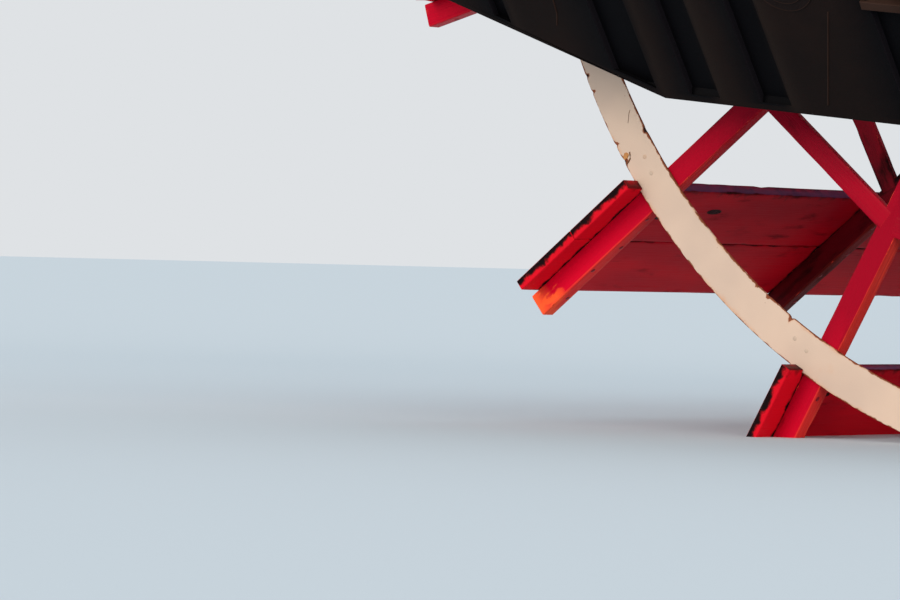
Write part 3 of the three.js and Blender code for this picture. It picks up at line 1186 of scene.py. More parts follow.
    def tube(self, path: Sequence[Vector], radius: float, coat: int, sides: int = 6) -> None:
        """Adds a round bar or weld bead.

        Args:
            path: the points that it runs through.
            radius: of the bar.
            coat: the number of its finish.
            sides: points round it.
        """
        rings = []
        for i, here in enumerate(path):
            run = (path[min(i + 1, len(path) - 1)] - path[max(i - 1, 0)]).normalized()
            turn = run.to_track_quat("Z", "Y").to_matrix()
            rings.append([
                here + turn @ Vector((*round_at(radius, 2 * pi * j / sides), 0)) for j in range(sides)])
        wears = [[0.5] * sides for _ in rings]
        self.loft(Matrix.Identity(4), rings, wears, 0.0, coat)

    def hex_bolt(self, place: Matrix, flats: float, height: float, washer: float, coat: int = 0) -> None:
        """Adds a hexagon nut on its washer, with the bolt's end standing out of it.

        Args:
            place: where the washer lies, with z out of the surface.
            flats: the nut's size across its flats.
            height: how tall the nut is.
            washer: the washer's radius.
            coat: the number of its finish.
        """
        seed = seed_at(place)
        thin, shank, top, point = (share * flats for share in (0.12, 0.27, 0.22, 0.22))
        reach = flats / 2 / cos(pi / 6)
        round_off = [round_at(washer, pi * i / 8) for i in range(16)]
        self.prism(place, round_off, thin, thin * 0.3, coat, seed)
        turned = shift(0, 0, thin) @ Matrix.Rotation(seed, 4, "Z")
        hexagon = [round_at(reach, pi * i / 3) for i in range(6)]
        self.prism(place @ turned, hexagon, height, flats * 0.05, coat, seed)
        tip = height + top
        stud = [(shank, 0.0, 0.4), (shank, tip - 0.002, 0.8), (point, tip, 1.0)]
        self.lathe(place @ turned, stud, 10, coat=coat, seed=seed)

    def dome(self, place: Matrix, radius: float, height: float, coat: int = 0, sides: int = 10) -> None:
        """Adds a round bolt or rivet head, slightly sunk, with the place's z out of the surface."""
        profile = [
            (radius, -0.001, 0.7), (radius, height * 0.15, 0.6), (radius * 0.82, height * 0.62, 0.4),
            (radius * 0.42, height * 0.95, 0.3)]
        self.lathe(place, profile, sides, coat=coat, seed=seed_at(place))

    def make(
        self, name: str, body: Body, finishes: Sequence[bpy.types.Material],
        replaces: Iterable[str] = (),
    ) -> bpy.types.Object:
        """Turns the sketch into a piece of the object.

        Args:
            name: the piece's name.
            body: the body that it moves with.
            finishes: its finishes, in the order of the coats.
            replaces: the CAD nodes that it stands for.

        Returns:
            The piece's object.
        """
        mesh = bpy.data.meshes.new(name)
        mesh.from_pydata([p[:] for p in self.points], [], self.faces)
        for finish in finishes:
            mesh.materials.append(finish)
        mesh.polygons.foreach_set("material_index", self.coats)
        grain = mesh.attributes.new("grain", "FLOAT_VECTOR", "POINT")
        grain.data.foreach_set("vector", [c for point in self.grain for c in point])
        wear = mesh.attributes.new("wear", "FLOAT", "POINT")
        wear.data.foreach_set("value", self.wear)
        shells = bmesh.new()
        shells.from_mesh(mesh)
        bmesh.ops.recalc_face_normals(shells, faces=shells.faces[:])
        shells.to_mesh(mesh)
        shells.free()
        mesh.polygons.foreach_set("use_smooth", [True] * len(mesh.polygons))
        mesh.set_sharp_from_angle(angle=SMOOTH_BELOW)
        mesh.update()
        piece = bpy.data.objects.new(name, mesh)
        bpy.context.scene.collection.objects.link(piece)
        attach(piece, body.value)
        for node in replaces:
            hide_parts(node)
        corners = sum(len(face) - 2 for face in self.faces)
        log.info("%s: %d triangles on %s", name, corners, body.value)
        return piece


# The wheel

@dataclass
class ArmSets:
    """The four sets of sixteen arms with the struts between them."""

    finishes: Finishes
    root: float = 0.300
    tip: float = 3.8145
    inner_strut: float = 2.220
    outer_strut: float = 2.858
    strut_wide: float = 0.093
    strut_thick: float = 0.038
    strut_arris: float = 0.003
    let_in: float = 0.030

    def build(self) -> None:
        """Builds one piece for each set."""
        for i, y in enumerate(FLANGES):
            ends = i in (0, len(FLANGES) - 1)
            rings = (self.inner_strut,) if ends else (self.inner_strut, self.outer_strut)
            sketch = Sketch()
            for k, angle in enumerate(ARM_ANGLES):
                root = spoke(angle, y) @ shift(self.root, 0, 0)
                seed = 17.3 * i + 2.9 * k + 1.1
                sketch.timber(root, self.tip - self.root, ARM_WIDE, ARM_THICK, seed)
                for r in rings:
                    self.strut(sketch, angle + ARM_STEP / 2, y, r, seed + r)
            # the inner sets take the finish with painted shade
            finish = self.finishes.arm if ends else self.finishes.shaded_inner_arm
            sketch.make(f"timber_arms_{i + 1}", Body.WHEEL, [finish], [f"arm_set_{i + 1}"])

    def strut(self, sketch: Sketch, angle: float, y: float, radius: float, seed: float) -> None:
        """Adds a strut, flush with the outboard faces of the two arms that it joins.

        Args:
            sketch: the set's mesh.
            angle: the strut's middle.
            y: the set's middle plane.
            radius: from the shaft's axis to the strut's middle.
            seed: its place in the grain.
        """
        outboard = copysign(1, y) * (ARM_THICK - self.strut_thick) / 2
        half = radius * tan(ARM_STEP / 2) - ARM_WIDE / 2 + self.let_in
        start = polar(angle, radius, y + outboard) - onward(angle) * half
        sketch.timber(
            axes(onward(angle), outward(angle), start), 2 * half, self.strut_wide, self.strut_thick, seed,
            arris=self.strut_arris)


@dataclass
class Paddles:
    """The sixteen paddles, each of two planks bolted to the four arms at its place."""

    finishes: Finishes
    inner: float = 3.022
    outer: float = 3.770
    thick: float = 0.050
    seam: float = 0.0015
    half_long: float = 2.903
    stand_off: float = 0.0543
    ring_faces: Pair = (2.7825, 2.7961)
    notch: float = 0.023
    bolt_in: float = 0.085
    stagger: float = 0.014
    # a nut's flats, height and washer, and a bolt head's radius and height
    nut: Triple = (0.027, 0.014, 0.024)
    head: Pair = (0.013, 0.0035)
    # the wear of a plank's ends, behind and on the side of the arms
    end_wear: Pair = (1.90, 0.40)
    knots_each: int = 3
    knot_proud: float = 0.0006
    # along the shaft, radius, half length and half height of the knot in the first paddle's inner plank
    knot: tuple[float, float, float, float] = (-2.082, 3.163, 0.055, 0.019)

    def build(self) -> None:
        """Builds one piece for each paddle, and the bolts of each arm set."""
        wide = (self.outer - self.inner - self.seam) / 2
        low, high = self.ring_faces
        cuts = [
            (self.half_long - high, self.half_long - low, self.notch),
            (self.half_long + low, self.half_long + high, self.notch)]
        for k, angle in enumerate(ARM_ANGLES):
            sketch = Sketch()
            lift = -onward(angle) * (self.stand_off + self.thick / 2)
            for board, middle in enumerate((self.inner + wide / 2, self.outer - wide / 2)):
                start = polar(angle, middle, -self.half_long) + lift
                sketch.timber(
                    axes(FAR, outward(angle), start), 2 * self.half_long, wide, self.thick,
                    seed=5.7 * k + 3.3 * board + 0.7, end_wear=self.end_wear,
                    notches=cuts if board == 0 else (),
                    step=0.06, arris=0.003)
            self.knots(sketch, k)
            number = f"{k + 1:02d}"
            finishes = [self.finishes.plank, self.finishes.knot]
            sketch.make(f"paddle_planks_{number}", Body.WHEEL, finishes, [f"paddle_{number}"])
        for i, y in enumerate(FLANGES):
            self.bolts(i, y)

    def knots(self, sketch: Sketch, k: int) -> None:
        """Adds the painted-over knots that stand up a little from a paddle's two faces.

        Args:
            sketch: the paddle's mesh.
            k: the paddle's number, from 0.
        """
        angle = ARM_ANGLES[k]
        places = [self.knot] if k == 0 else []
        # the plain numbers scatter them over the planks, clear of the seam and of the arms
        for n in range(self.knots_each):
            pick = [
                0.5 + noise.noise(Vector((k * 3.7 + 0.5, n * 5.3 + 0.5, q * 9.1 + 0.5))) for q in range(4)]
            r = self.inner + 0.10 + 0.22 * pick[0] + (0.36 if n % 2 else 0.0)
            places.append(
                (FLANGES[n] + 0.3 + 1.2 * pick[1], r, 0.020 + 0.025 * pick[2], 0.010 + 0.008 * pick[3]))
        for n, (y, r, long, high) in enumerate(places):
            face = 1 if n == 0 or n % 2 else -1
            level = self.stand_off if face > 0 else self.stand_off + self.thick
            start = polar(angle, r, y) - onward(angle) * (level + self.knot_proud * face)
            place = axes(FAR, outward(angle) * face, start)
            place = place @ Matrix.Diagonal((long, high, -0.002, 1.0))
            sketch.lathe(
                place, [(1.0, 0.3, 0.0), (0.9, -0.45, 0.0), (0.5, -0.8, 0.0), (0.15, -0.9, 0.0)], 20, coat=1)

    def bolts(self, i: int, y: float) -> None:
        """Bolts the planks of every paddle to one arm set.

        Args:
            i: the set's number, from 0.
            y: the set's middle plane.
        """
        sketch = Sketch()
        middle = (self.inner + self.outer) / 2
        rows = (
            self.inner + self.bolt_in, middle - self.bolt_in, middle + self.bolt_in,
            self.outer - self.bolt_in)
        for angle in ARM_ANGLES:
            ahead = onward(angle)
            for n, r in enumerate(rows):
                at = polar(angle, r, y + (self.stagger if n % 2 else -self.stagger))
                sketch.hex_bolt(facing(at - ahead * (self.stand_off + self.thick - 0.001), -ahead), *self.nut)
                sketch.dome(facing(at + ahead * (ARM_WIDE / 2 - 0.002), ahead), *self.head)
        sketch.make(f"paddle_bolts_{i + 1}", Body.WHEEL, [self.finishes.bolt])


@dataclass(frozen=True)
class Knock:
    """A place where something has struck a rim's edge: its angle and width in degrees, and its depth."""

    angle: float
    half_wide: float
    deep: float
    inner: bool = False

    def share(self, angle: float, spread: float = 1.0) -> float:
        """How much of the knock reaches an angle in degrees, from 0 to 1."""
        away = (angle - self.angle + 180) % 360 - 180
        return exp(-((away / (self.half_wide * spread)) ** 2))


@dataclass
class RimRings:
    """The flat white rings on the two outer arm sets, rusted along their edges."""

    finishes: Finishes
    outer: float = 3.040
    inner: float = 2.863
    thick: float = 0.012
    segments: int = 2160
    bend: float = 0.002
    sound: float = 0.0005
    # rust along the edges: waves and layer in the pattern, the value where it starts, and how deep it eats
    bites: tuple[tuple[float, float, float, float], ...] = ((24, 9.0, 0.25, 0.002), (90, 5.0, 0.62, 0.008))
    # the bolts beside an arm, round the ring and in radius, and a head's radius and height
    bolts_at: tuple[Pair, ...] = ((-0.083, 2.945), (-0.163, 2.933))
    head: Pair = (0.011, 0.0022)
    knocks: tuple[Knock, ...] = (
        Knock(206.1, 0.16, 0.004), Knock(207.6, 0.12, 0.006), Knock(212.8, 0.14, 0.006),
        Knock(214.35, 0.30, 0.006),
        Knock(213.3, 0.30, 0.003, inner=True), Knock(231.9, 0.10, 0.004, inner=True),
        Knock(233.4, 0.12, 0.004, inner=True), Knock(236.5, 0.16, 0.009, inner=True))
    # cracks in the near ring's paint: half width, then a row of angles in degrees and radii
    cracks: tuple[tuple[float, tuple[Pair, ...]], ...] = (
        (0.0035, ((214.06, 2.990), (214.32, 2.995), (214.57, 3.003), (214.70, 3.016), (214.77, 3.031))),
        (0.0014, ((210.93, 2.892), (211.16, 2.905), (211.39, 2.914), (211.82, 2.930))))
    # where its paint has lifted and left pale rust: angle in degrees, radius and half size
    lifted: Triple = (214.16, 3.015, 0.017)
    skin: float = 0.0014

    def build(self) -> None:
        """Builds both rings with their bolts."""
        for side in Side:
            sketch = Sketch()
            face = side.value * (FLANGES[-1] + ARM_THICK / 2 + SEAT)
            self.ring(sketch, side, face)
            self.bolts(sketch, side, face)
            if side is Side.NEAR:
                self.marks(sketch, face + side.value * self.thick)
            finishes = [
                self.finishes.rim, self.finishes.rim_bolt, self.finishes.rim_crack, self.finishes.rim_lifted]
            sketch.make(f"{side.word}_rim", Body.WHEEL, finishes, [f"{side.word}_rim_ring"])

    def ring(self, sketch: Sketch, side: Side, face: float) -> None:
        """Adds the ring's bar, with its knocked and rusted edges.

        Args:
            sketch: the ring's mesh.
            side: which end of the shaft.
            face: its inboard face.
        """
        far_face = face + side.value * self.thick
        rings, wears = [], []
        for i in range(self.segments):
            angle = 2 * pi * i / self.segments
            eaten, hurt = [], []
            for inner in (False, True):
                rough = 0.0
                for waves, layer, start, depth in self.bites:
                    where = Vector((cos(angle) * waves, sin(angle) * waves, layer * inner + side.value))
                    rough += max(0.0, noise.noise(where) - start) * depth
                near = [knock for knock in self.knocks if knock.inner is inner and side is Side.NEAR]
                deep = sum(knock.deep * knock.share(degrees(angle)) for knock in near)
                eaten.append(self.sound + rough + deep)
                hurt.append(min(1.0, sum(knock.share(degrees(angle), 1.5) for knock in near)))
            out, low = self.outer - eaten[0], self.inner + eaten[1]
            bend = side.value * self.bend
            section = []
            for sign, edge, harm in ((1, out, hurt[0]), (-1, low, hurt[1])):
                rows = [
                    (0.040, face, 0.0), (0.008, face, 0.4), (0.002, face, 0.8), (0.0, face + bend, 1.0),
                    (0.0, far_face - bend, 1.0 + 0.3 * harm), (0.002, far_face, 0.9 + 0.4 * harm),
                    (0.010, far_face, 0.45 + 0.70 * harm), (0.030, far_face, 0.30 * harm)]
                section += [(edge - sign * inset, y, worn) for inset, y, worn in rows[::sign]]
            rings.append([polar(angle, r, y) for r, y, _ in section])
            wears.append([worn for _, _, worn in section])
        sketch.loft(Matrix.Identity(4), rings, wears, 3.0 + side.value, looped=True)

    def bolts(self, sketch: Sketch, side: Side, face: float) -> None:
        """Adds the two painted-over bolts beside each arm.

        Args:
            sketch: the ring's mesh.
            side: which end of the shaft.
            face: the ring's inboard face.
        """
        out = Vector((0, side.value, 0))
        for angle in ARM_ANGLES:
            for beside, r in self.bolts_at:
                at = polar(angle + beside / r, r, face + side.value * (self.thick - 0.0005))
                sketch.dome(facing(at, out), *self.head, coat=1, sides=12)

    def marks(self, sketch: Sketch, far_face: float) -> None:
        """Adds the cracks and the lifted paint of the near ring.

        Args:
            sketch: the ring's mesh.
            far_face: its outboard face.
        """
        for half, crack in self.cracks:
            sketch.tube([polar(radians(a), r, far_face) for a, r in crack], half, coat=2)
        angle, r, half = self.lifted
        at = facing(polar(radians(angle), r, far_face), Vector((0, -1, 0)))
        turns = [pi * j / 8 for j in range(16)]
        ragged = [half * (0.85 + 0.6 * noise.noise(Vector((1.7 * cos(a), 1.7 * sin(a), 0.5)))) for a in turns]
        outline = [round_at(far, a) for far, a in zip(ragged, turns)]
        sketch.prism(at @ shift(0, 0, -0.001), outline, self.skin, 0.0004, coat=3)


@dataclass
class Hubs:
    """The four cast iron hubs that clamp the arms' roots between two discs."""

    finishes: Finishes
    bore: float = 0.1803
    sleeve: float = 0.288
    collar: float = 0.328
    disc: float = 0.750
    disc_thick: float = 0.032
    lip: float = 0.026
    edge: float = 0.004
    round_off: float = 0.010
    bolt_rows: tuple[float, ...] = (0.445, 0.560, 0.675)
    # a nut's flats, height and washer
    nut: Triple = (0.036, 0.016, 0.026)
    # a key's size, outwards, round and along the shaft, and how far out its middle lies
    key: Triple = (0.038, 0.045, 0.040)
    key_out: float = 0.197

    def build(self) -> None:
        """Builds each hub with its bolts and keys."""
        for i, y in enumerate(FLANGES):
            sketch = Sketch()
            sketch.lathe(on_shaft(y), self.profile(), 128, looped=True, seed=i + 2.0)
            for side in Side:
                self.fasten(sketch, y, side)
            sketch.make(f"cast_hub_{i + 1}", Body.WHEEL, [self.finishes.hub], [f"hub_{i + 1}"])

    def profile(self) -> list[Triple]:
        """The hub's outline round its bore.

        Returns:
            Radius, place along the shaft and wear of each ring.
        """
        arm = ARM_THICK / 2 + SEAT
        disc = arm + self.disc_thick
        lip = disc + self.lip
        edge, turn = self.edge, self.round_off
        half = [
            (self.bore, lip - edge, 0.6), (self.bore + edge, lip, 0.9), (self.collar - turn, lip, 0.8),
            (self.collar, lip - turn, 1.0), (self.collar, disc + 0.012, 0.4),
            (self.collar + 0.012, disc, 0.3),
            (self.disc - 0.060, disc, 0.1), (self.disc - 0.050, disc - edge, 0.5),
            (self.disc - edge, disc - edge, 0.7), (self.disc, disc - edge - edge, 1.0),
            (self.disc, arm + edge, 1.0), (self.disc - edge, arm, 0.8), (self.sleeve, arm, 0.3)]
        return half + [(r, -h, worn) for r, h, worn in reversed(half)]

    def fasten(self, sketch: Sketch, y: float, side: Side) -> None:
        """Adds the bolts through the arms and the two keys in the bore, on one side of a hub.

        Args:
            sketch: the hub's mesh.
            y: the hub's middle plane.
            side: which way the side faces.
        """
        out = Vector((0, side.value, 0))
        face = y + side.value * (ARM_THICK / 2 + self.disc_thick)
        for angle in ARM_ANGLES:
            for r in self.bolt_rows:
                sketch.hex_bolt(facing(polar(angle, r, face), out), *self.nut)
        for turn in (0.0, pi / 2):
            key = spoke(FIRST_ARM + turn, face + side.value * self.lip)
            sketch.bar(key @ shift(self.key_out, 0, -self.key[2] / 2), self.key, 0.003, seed=turn)


@dataclass
class Shaft:
    """The forged shaft: painted between the hubs, bright where it turns in the bearings."""

    finishes: Finishes
    middle: float = 0.180
    journal: float = 0.150
    step: float = 2.948
    half: float = 3.945
    unpainted: float = 0.10
    lathe_sides: int = 96

    def build(self) -> None:
        """Builds the shaft as one turned piece with two finishes."""
        sketch = Sketch()
        place = on_shaft(0.0)
        body = self.step - self.unpainted
        turned = self.journal - 0.0002
        painted = [(self.middle, -body, 0.2)]
        painted += [(self.middle, body * (i / 12 - 1), 0.1) for i in range(1, 24)]
        painted += [(self.middle, body, 0.2)]
        sketch.lathe(place, painted, self.lathe_sides)
        for sign in (-1, 1):
            bright = [
                (self.middle - 0.001, body - 0.001, 0.4), (self.middle - 0.001, self.step - 0.006, 0.9),
                (self.middle - 0.007, self.step, 0.8), (self.journal + 0.016, self.step, 0.3),
                (self.journal + 0.005, self.step + 0.005, 0.3), (turned, self.step + 0.018, 0.2),
                (turned, Bearings.middle, 0.1), (turned, self.half - 0.010, 0.6),
                (self.journal - 0.010, self.half, 0.9)]
            sketch.lathe(
                place, [(r, sign * along, worn) for r, along, worn in bright], self.lathe_sides, coat=1,
                seed=4.0 + sign)
        sketch.make(
            "forged_shaft", Body.WHEEL, [self.finishes.shaft, self.finishes.steel],
            ["wheel_shaft"])


@dataclass
class Cranks:
    """The two cranks at right angles, with their pins for the connecting rods."""

    finishes: Finishes
    throw: float = 0.760
    boss: float = 0.260
    eye: float = 0.155
    thick: float = 0.150
    inner: float = 3.800
    pin: float = 0.075
    pin_long: float = 0.250
    collar: float = 0.105
    collar_thick: float = 0.030
    # the shaft's key: how far out it lies, and its size outwards, across and high
    key_out: float = 0.150
    key: Triple = (0.056, 0.046, 0.016)
    # the collar's bolts: how far from the pin's axis, and a head's radius and height
    bolts_out: float = 0.055
    head: Pair = (0.013, 0.012)
    lean_deg: dict[Side, float] = field(default_factory=lambda: {Side.NEAR: -45.0, Side.FAR: -135.0})

    def build(self) -> None:
        """Builds each crank with its boss, key, pin and collar."""
        for side in Side:
            sketch = Sketch()
            angle = radians(self.lean_deg[side])
            turn = Matrix((outward(angle), onward(angle), Vector((0, side.value, 0)))).transposed().to_4x4()
            place = shift(SHAFT_X, side.value * self.inner, 0) @ turn
            self.web(sketch, place)
            self.journal(sketch, place)
            sketch.make(
                f"forged_{side.word}_crank", Body.WHEEL,
                [self.finishes.shaft, self.finishes.steel, self.finishes.bearing_bolt],
                [f"{side.word}_crank"])

    def web(self, sketch: Sketch, place: Matrix) -> None:
        """Adds the web round the shaft's end, with a raised ring and the shaft's key.

        Args:
            sketch: the crank's mesh.
            place: on the shaft's axis at the web's inboard face, x to the pin, z outboard.
        """
        lean = asin((self.boss - self.eye) / self.throw)
        outline = []
        for centre, radius, low, high in (
                (0.0, self.boss, pi / 2 - lean, 1.5 * pi + lean),
                (self.throw, self.eye, -pi / 2 + lean, pi / 2 - lean)):
            for i in range(33):
                a = low + (high - low) * i / 32
                outline.append((centre + radius * cos(a), radius * sin(a)))
        sketch.prism(place, outline, self.thick - 0.012, 0.008)
        for centre, radius in ((0.0, self.boss - 0.018), (self.throw, self.eye - 0.014)):
            ring = place @ shift(centre, 0, self.thick - 0.014)
            sketch.lathe(
                ring, [(radius, 0, 0.4), (radius, 0.010, 0.9), (radius - 0.004, 0.014, 0.9)], 64, coat=1)
        sketch.bar(place @ shift(self.key_out, 0, self.thick - 0.006), self.key, coat=2)

    def journal(self, sketch: Sketch, place: Matrix) -> None:
        """Adds the bright pin, its collar, and the bolts that hold the collar.

        Args:
            sketch: the crank's mesh.
            place: as for the web.
        """
        low, high = self.thick, self.thick + self.pin_long
        stand = place @ shift(self.throw, 0, 0)
        sketch.lathe(stand, [
            (self.pin + 0.012, low - 0.010, 0.3), (self.pin + 0.012, low + 0.004, 0.6),
            (self.pin, low + 0.010, 0.3),
            (self.pin, (low + high) / 2, 0.1), (self.pin, high - self.collar_thick, 0.3),
            (self.collar - 0.003, high - self.collar_thick, 0.8),
            (self.collar, high - self.collar_thick + 0.003, 1.0),
            (self.collar, high - 0.016, 1.0), (self.collar - 0.004, high - 0.012, 0.9)], 64, coat=1, seed=6.0)
        for i in range(4):
            at = stand @ shift(*round_at(self.bolts_out, pi / 4 + i * pi / 2), high - 0.0125)
            sketch.dome(at, *self.head, coat=2, sides=6)
        shaft_end = place @ shift(0, 0, self.thick - 0.003)
        sketch.lathe(shaft_end, [
            (0.148, 0.0, 0.5), (0.148, 0.006, 0.8), (0.145, 0.008, 0.9), (0.028, 0.008, 0.5),
            (0.012, -0.004, 0.9)],
            64, coat=1, seed=9.0)


# The stern

@dataclass
class PlateWork:
    """The beams, guards and transom: the CAD shapes with eased edges, rivets, straps and seams."""

    finishes: Finishes
    ease: float = 0.003
    inner_y: float = 3.010
    aft_x: float = -8.15
    transom_x: float = -0.350
    transom_low: float = -1.250
    first_strap: float = -0.62
    strap_step: float = 1.18
    strap_wide: float = 0.150
    strap_thick: float = 0.008
    strap_rivets: float = 0.048
    edge_bar: Pair = (0.095, 0.010)
    rivet_step: float = 0.085
    rivet: Pair = (0.0125, 0.008)
    # the cover plate: its place on the flare, and each step's outer and inner radius and height
    cover_at: Triple = (0.813, 0.694, -0.001)
    cover_steps: tuple[Triple, ...] = ((0.163, 0.120, 0.006), (0.124, 0.030, 0.011))
    cover_bolts: float = 0.143
    ledge_at: Triple = (1.42, 0.600, -0.058)
    ledge: Triple = (0.44, 0.040, 0.072)
    weld: float = 0.0035
    # the bars along the guards' outer edge: how far out, how high, and where each starts and ends
    lip_y: float = 3.7475
    lip: Pair = (0.012, 0.075)
    lip_runs: tuple[Pair, ...] = ((-8.12, -5.40), (-5.36, -3.42), (-3.38, -0.03))
    frame_count: int = 11
    frame_step: float = 0.56
    # a frame's flat and its web: how wide and how proud
    frame_bars: tuple[Pair, ...] = ((0.110, 0.009), (0.012, 0.058))
    frame_rivets: float = 0.037
    flange_thick: float = 0.009
    flange_step: float = 0.16
    # a nut's flats, height and washer
    nut: Triple = (0.030, 0.014, 0.024)

    def build(self) -> None:
        """Dresses the plate nodes and adds their fittings."""
        for side in Side:
            dress(f"{side.word}_beam", self.finishes.beam, self.ease)
            dress(f"{side.word}_guard", self.finishes.guard, self.ease)
            self.beam_straps(side)
            self.guard_fittings(side)
        dress("transom_beam", self.finishes.plate, self.ease)
        self.transom_frames()
        self.hull_flange()

    def rivet_row(self, sketch: Sketch, start: Vector, end: Vector, normal: Vector, coat: int = 0) -> None:
        """Adds a row of rivets, evenly spaced.

        Args:
            sketch: the piece's mesh.
            start: the first rivet.
            end: the last.
            normal: the way that their heads point.
            coat: the number of their finish.
        """
        count = max(1, round((end - start).length / self.rivet_step))
        for i in range(count + 1):
            sketch.dome(facing(start.lerp(end, i / count), normal), *self.rivet, coat=coat, sides=8)

    def beam_straps(self, side: Side) -> None:
        """Adds riveted straps over the joints in a beam's inboard plates, and a bar along its lower edge.

        Args:
            side: which beam.
        """
        sketch = Sketch()
        inboard = Vector((0, -side.value, 0))
        face = side.value * self.inner_y
        count = int((self.first_strap - self.aft_x - 0.2) / self.strap_step)
        for i in range(count + 1):
            x = self.first_strap - i * self.strap_step
            low = FLARE.belly(x - SHAFT_X) + 0.115
            high = FLARE.top_z - 0.020
            place = axes(FORE * side.value, UP, Vector((x, face, (low + high) / 2)))
            sketch.bar(place, (self.strap_wide, high - low, self.strap_thick), coat=1, seed=i)
            for beside in (-self.strap_rivets, self.strap_rivets):
                start, end = (Vector((x + beside, face, z)) for z in (low + 0.04, high - 0.04))
                lift = inboard * self.strap_thick
                self.rivet_row(sketch, start + lift, end + lift, inboard)
        knuckle_x = FLARE.knuckle.x
        for x0, x1 in ((self.aft_x + 0.01, knuckle_x), (knuckle_x, -0.01)):
            ends = [Vector((x, face, FLARE.belly(x - SHAFT_X) + 0.006)) for x in (x0, x1)]
            run = (ends[1] - ends[0]).normalized()
            rise = Vector((-run.z, 0, run.x))
            place = axes(run * side.value, rise, (ends[0] + ends[1]) / 2 + rise * 0.05)
            sketch.bar(place, ((ends[1] - ends[0]).length, *self.edge_bar), coat=1, seed=x0)
            level = rise * 0.05 + inboard * self.edge_bar[1]
            self.rivet_row(
                sketch, ends[0] + level + run * 0.06, ends[1] + level - run * 0.06, inboard, coat=1)
        sketch.make(
            f"{side.word}_beam_straps", Body.STERN, [self.finishes.plate, self.finishes.edge])

    def guard_fittings(self, side: Side) -> None:
        """Adds the flare's cover plate, its weld seams and the ledge bar across the widest hollow.

        Args:
            side: which guard.
        """
        sketch = Sketch()
        flare = FLARE.place(side)
        cover = flare @ Matrix.Translation(self.cover_at)
        for reach, inner, height in self.cover_steps:
            rim = [Vector((*round_at(reach - 0.002, pi * j / 32), height - 0.001)) for j in range(65)]
            step = [
                (reach, 0.0, 0.5), (reach, height - 0.002, 1.0), (reach - 0.002, height, 0.8),
                (inner, height, 0.2)]
            sketch.lathe(cover, step, 72)
            sketch.tube([cover @ point for point in rim], 0.0016, coat=1)
        for i in range(8):
            at = cover @ shift(*round_at(self.cover_bolts, pi * (i + 0.5) / 4), 0.0055)
            sketch.dome(at, 0.007, 0.003)
        seams = [
            [flare @ Vector((x, y, 0.0)) for x, y in ((0.873, 0.062), (0.944, 0.303), (1.015, 0.544))],
            [FLARE.at(side, -2.411, 0.33), FLARE.at(side, -2.385, 0.392), FLARE.at(side, -2.359, 0.60)],
            [FLARE.at(side, -3.24, 0.52), FLARE.at(side, -3.20, 0.60), FLARE.at(side, -3.16, 0.70)]]
        for path in seams:
            sketch.tube(path, self.weld, coat=1)
        sketch.bar(flare @ Matrix.Translation(self.ledge_at), self.ledge, 0.003, coat=1)
        for x0, x1 in self.lip_runs:
            foot = Vector(((x0 + x1) / 2, side.value * self.lip_y, FLARE.top_z - 0.001))
            sketch.bar(axes(FORE, FAR, foot), (x1 - x0, *self.lip), coat=1, seed=x0)
        sketch.make(
            f"{side.word}_guard_fittings", Body.STERN, [self.finishes.cover, self.finishes.seam])

    def transom_frames(self) -> None:
        """Adds the transom's upright frames, stringer and rivets on the side that faces the wheel."""
        sketch = Sketch()
        aft = Vector((-1, 0, 0))
        face = self.transom_x + 0.001
        high = FLARE.top_z - 0.03
        low = self.transom_low + 0.03
        about = Matrix.Rotation(pi, 4, "Y")
        for i in range(self.frame_count):
            y = (i - self.frame_count // 2) * self.frame_step
            place = axes(FAR, UP, Vector((face, y, (high + low) / 2)))
            for wide, proud in self.frame_bars:
                sketch.bar(place @ about, (wide, high - low, proud), seed=y + wide)
            for beside in (-self.frame_rivets, self.frame_rivets):
                start, end = (
                    Vector((self.transom_x - 0.008, y + beside, z)) for z in (low + 0.04, high - 0.04))
                self.rivet_row(sketch, start, end, aft)
        for z in (high - 0.02, low + 0.02):
            stringer = axes(FAR, UP, Vector((face, 0, z))) @ about
            sketch.bar(stringer, (2 * self.inner_y - 0.03, 0.040, 0.014), coat=1, seed=z)
        sketch.make("transom_frames", Body.STERN, [self.finishes.edge, self.finishes.edge])

    def hull_flange(self) -> None:
        """Adds the bolted flange bars round the cut ends, where the hull joins."""
        sketch = Sketch()
        low, belly = self.transom_low, FLARE.belly(-SHAFT_X)
        # each bar's two ends, along the shaft and in height, and its width
        runs = [((-3.24, -0.455), (3.24, -0.455), 0.100), ((-2.95, low + 0.055), (2.95, low + 0.055), 0.100)]
        for side in Side:
            for y in (side.value * 3.060, side.value * 3.195):
                runs.append(((y, belly + 0.05), (y, -0.515), 0.090))
        for (y0, z0), (y1, z1), wide in runs:
            start, end = Vector((0, y0, z0)), Vector((0, y1, z1))
            run = (end - start).normalized()
            middle = (start + end) / 2 - FORE * 0.001
            sketch.bar(
                axes(run, FORE.cross(run), middle), ((end - start).length, wide, self.flange_thick), seed=y0)
            count = round((end - start).length / self.flange_step)
            for i in range(count):
                at = start.lerp(end, (i + 0.5) / count) + FORE * (self.flange_thick - 0.0015)
                sketch.hex_bolt(facing(at, FORE), *self.nut, coat=1)
        sketch.make("hull_flange", Body.STERN, [self.finishes.edge, self.finishes.bearing_bolt])


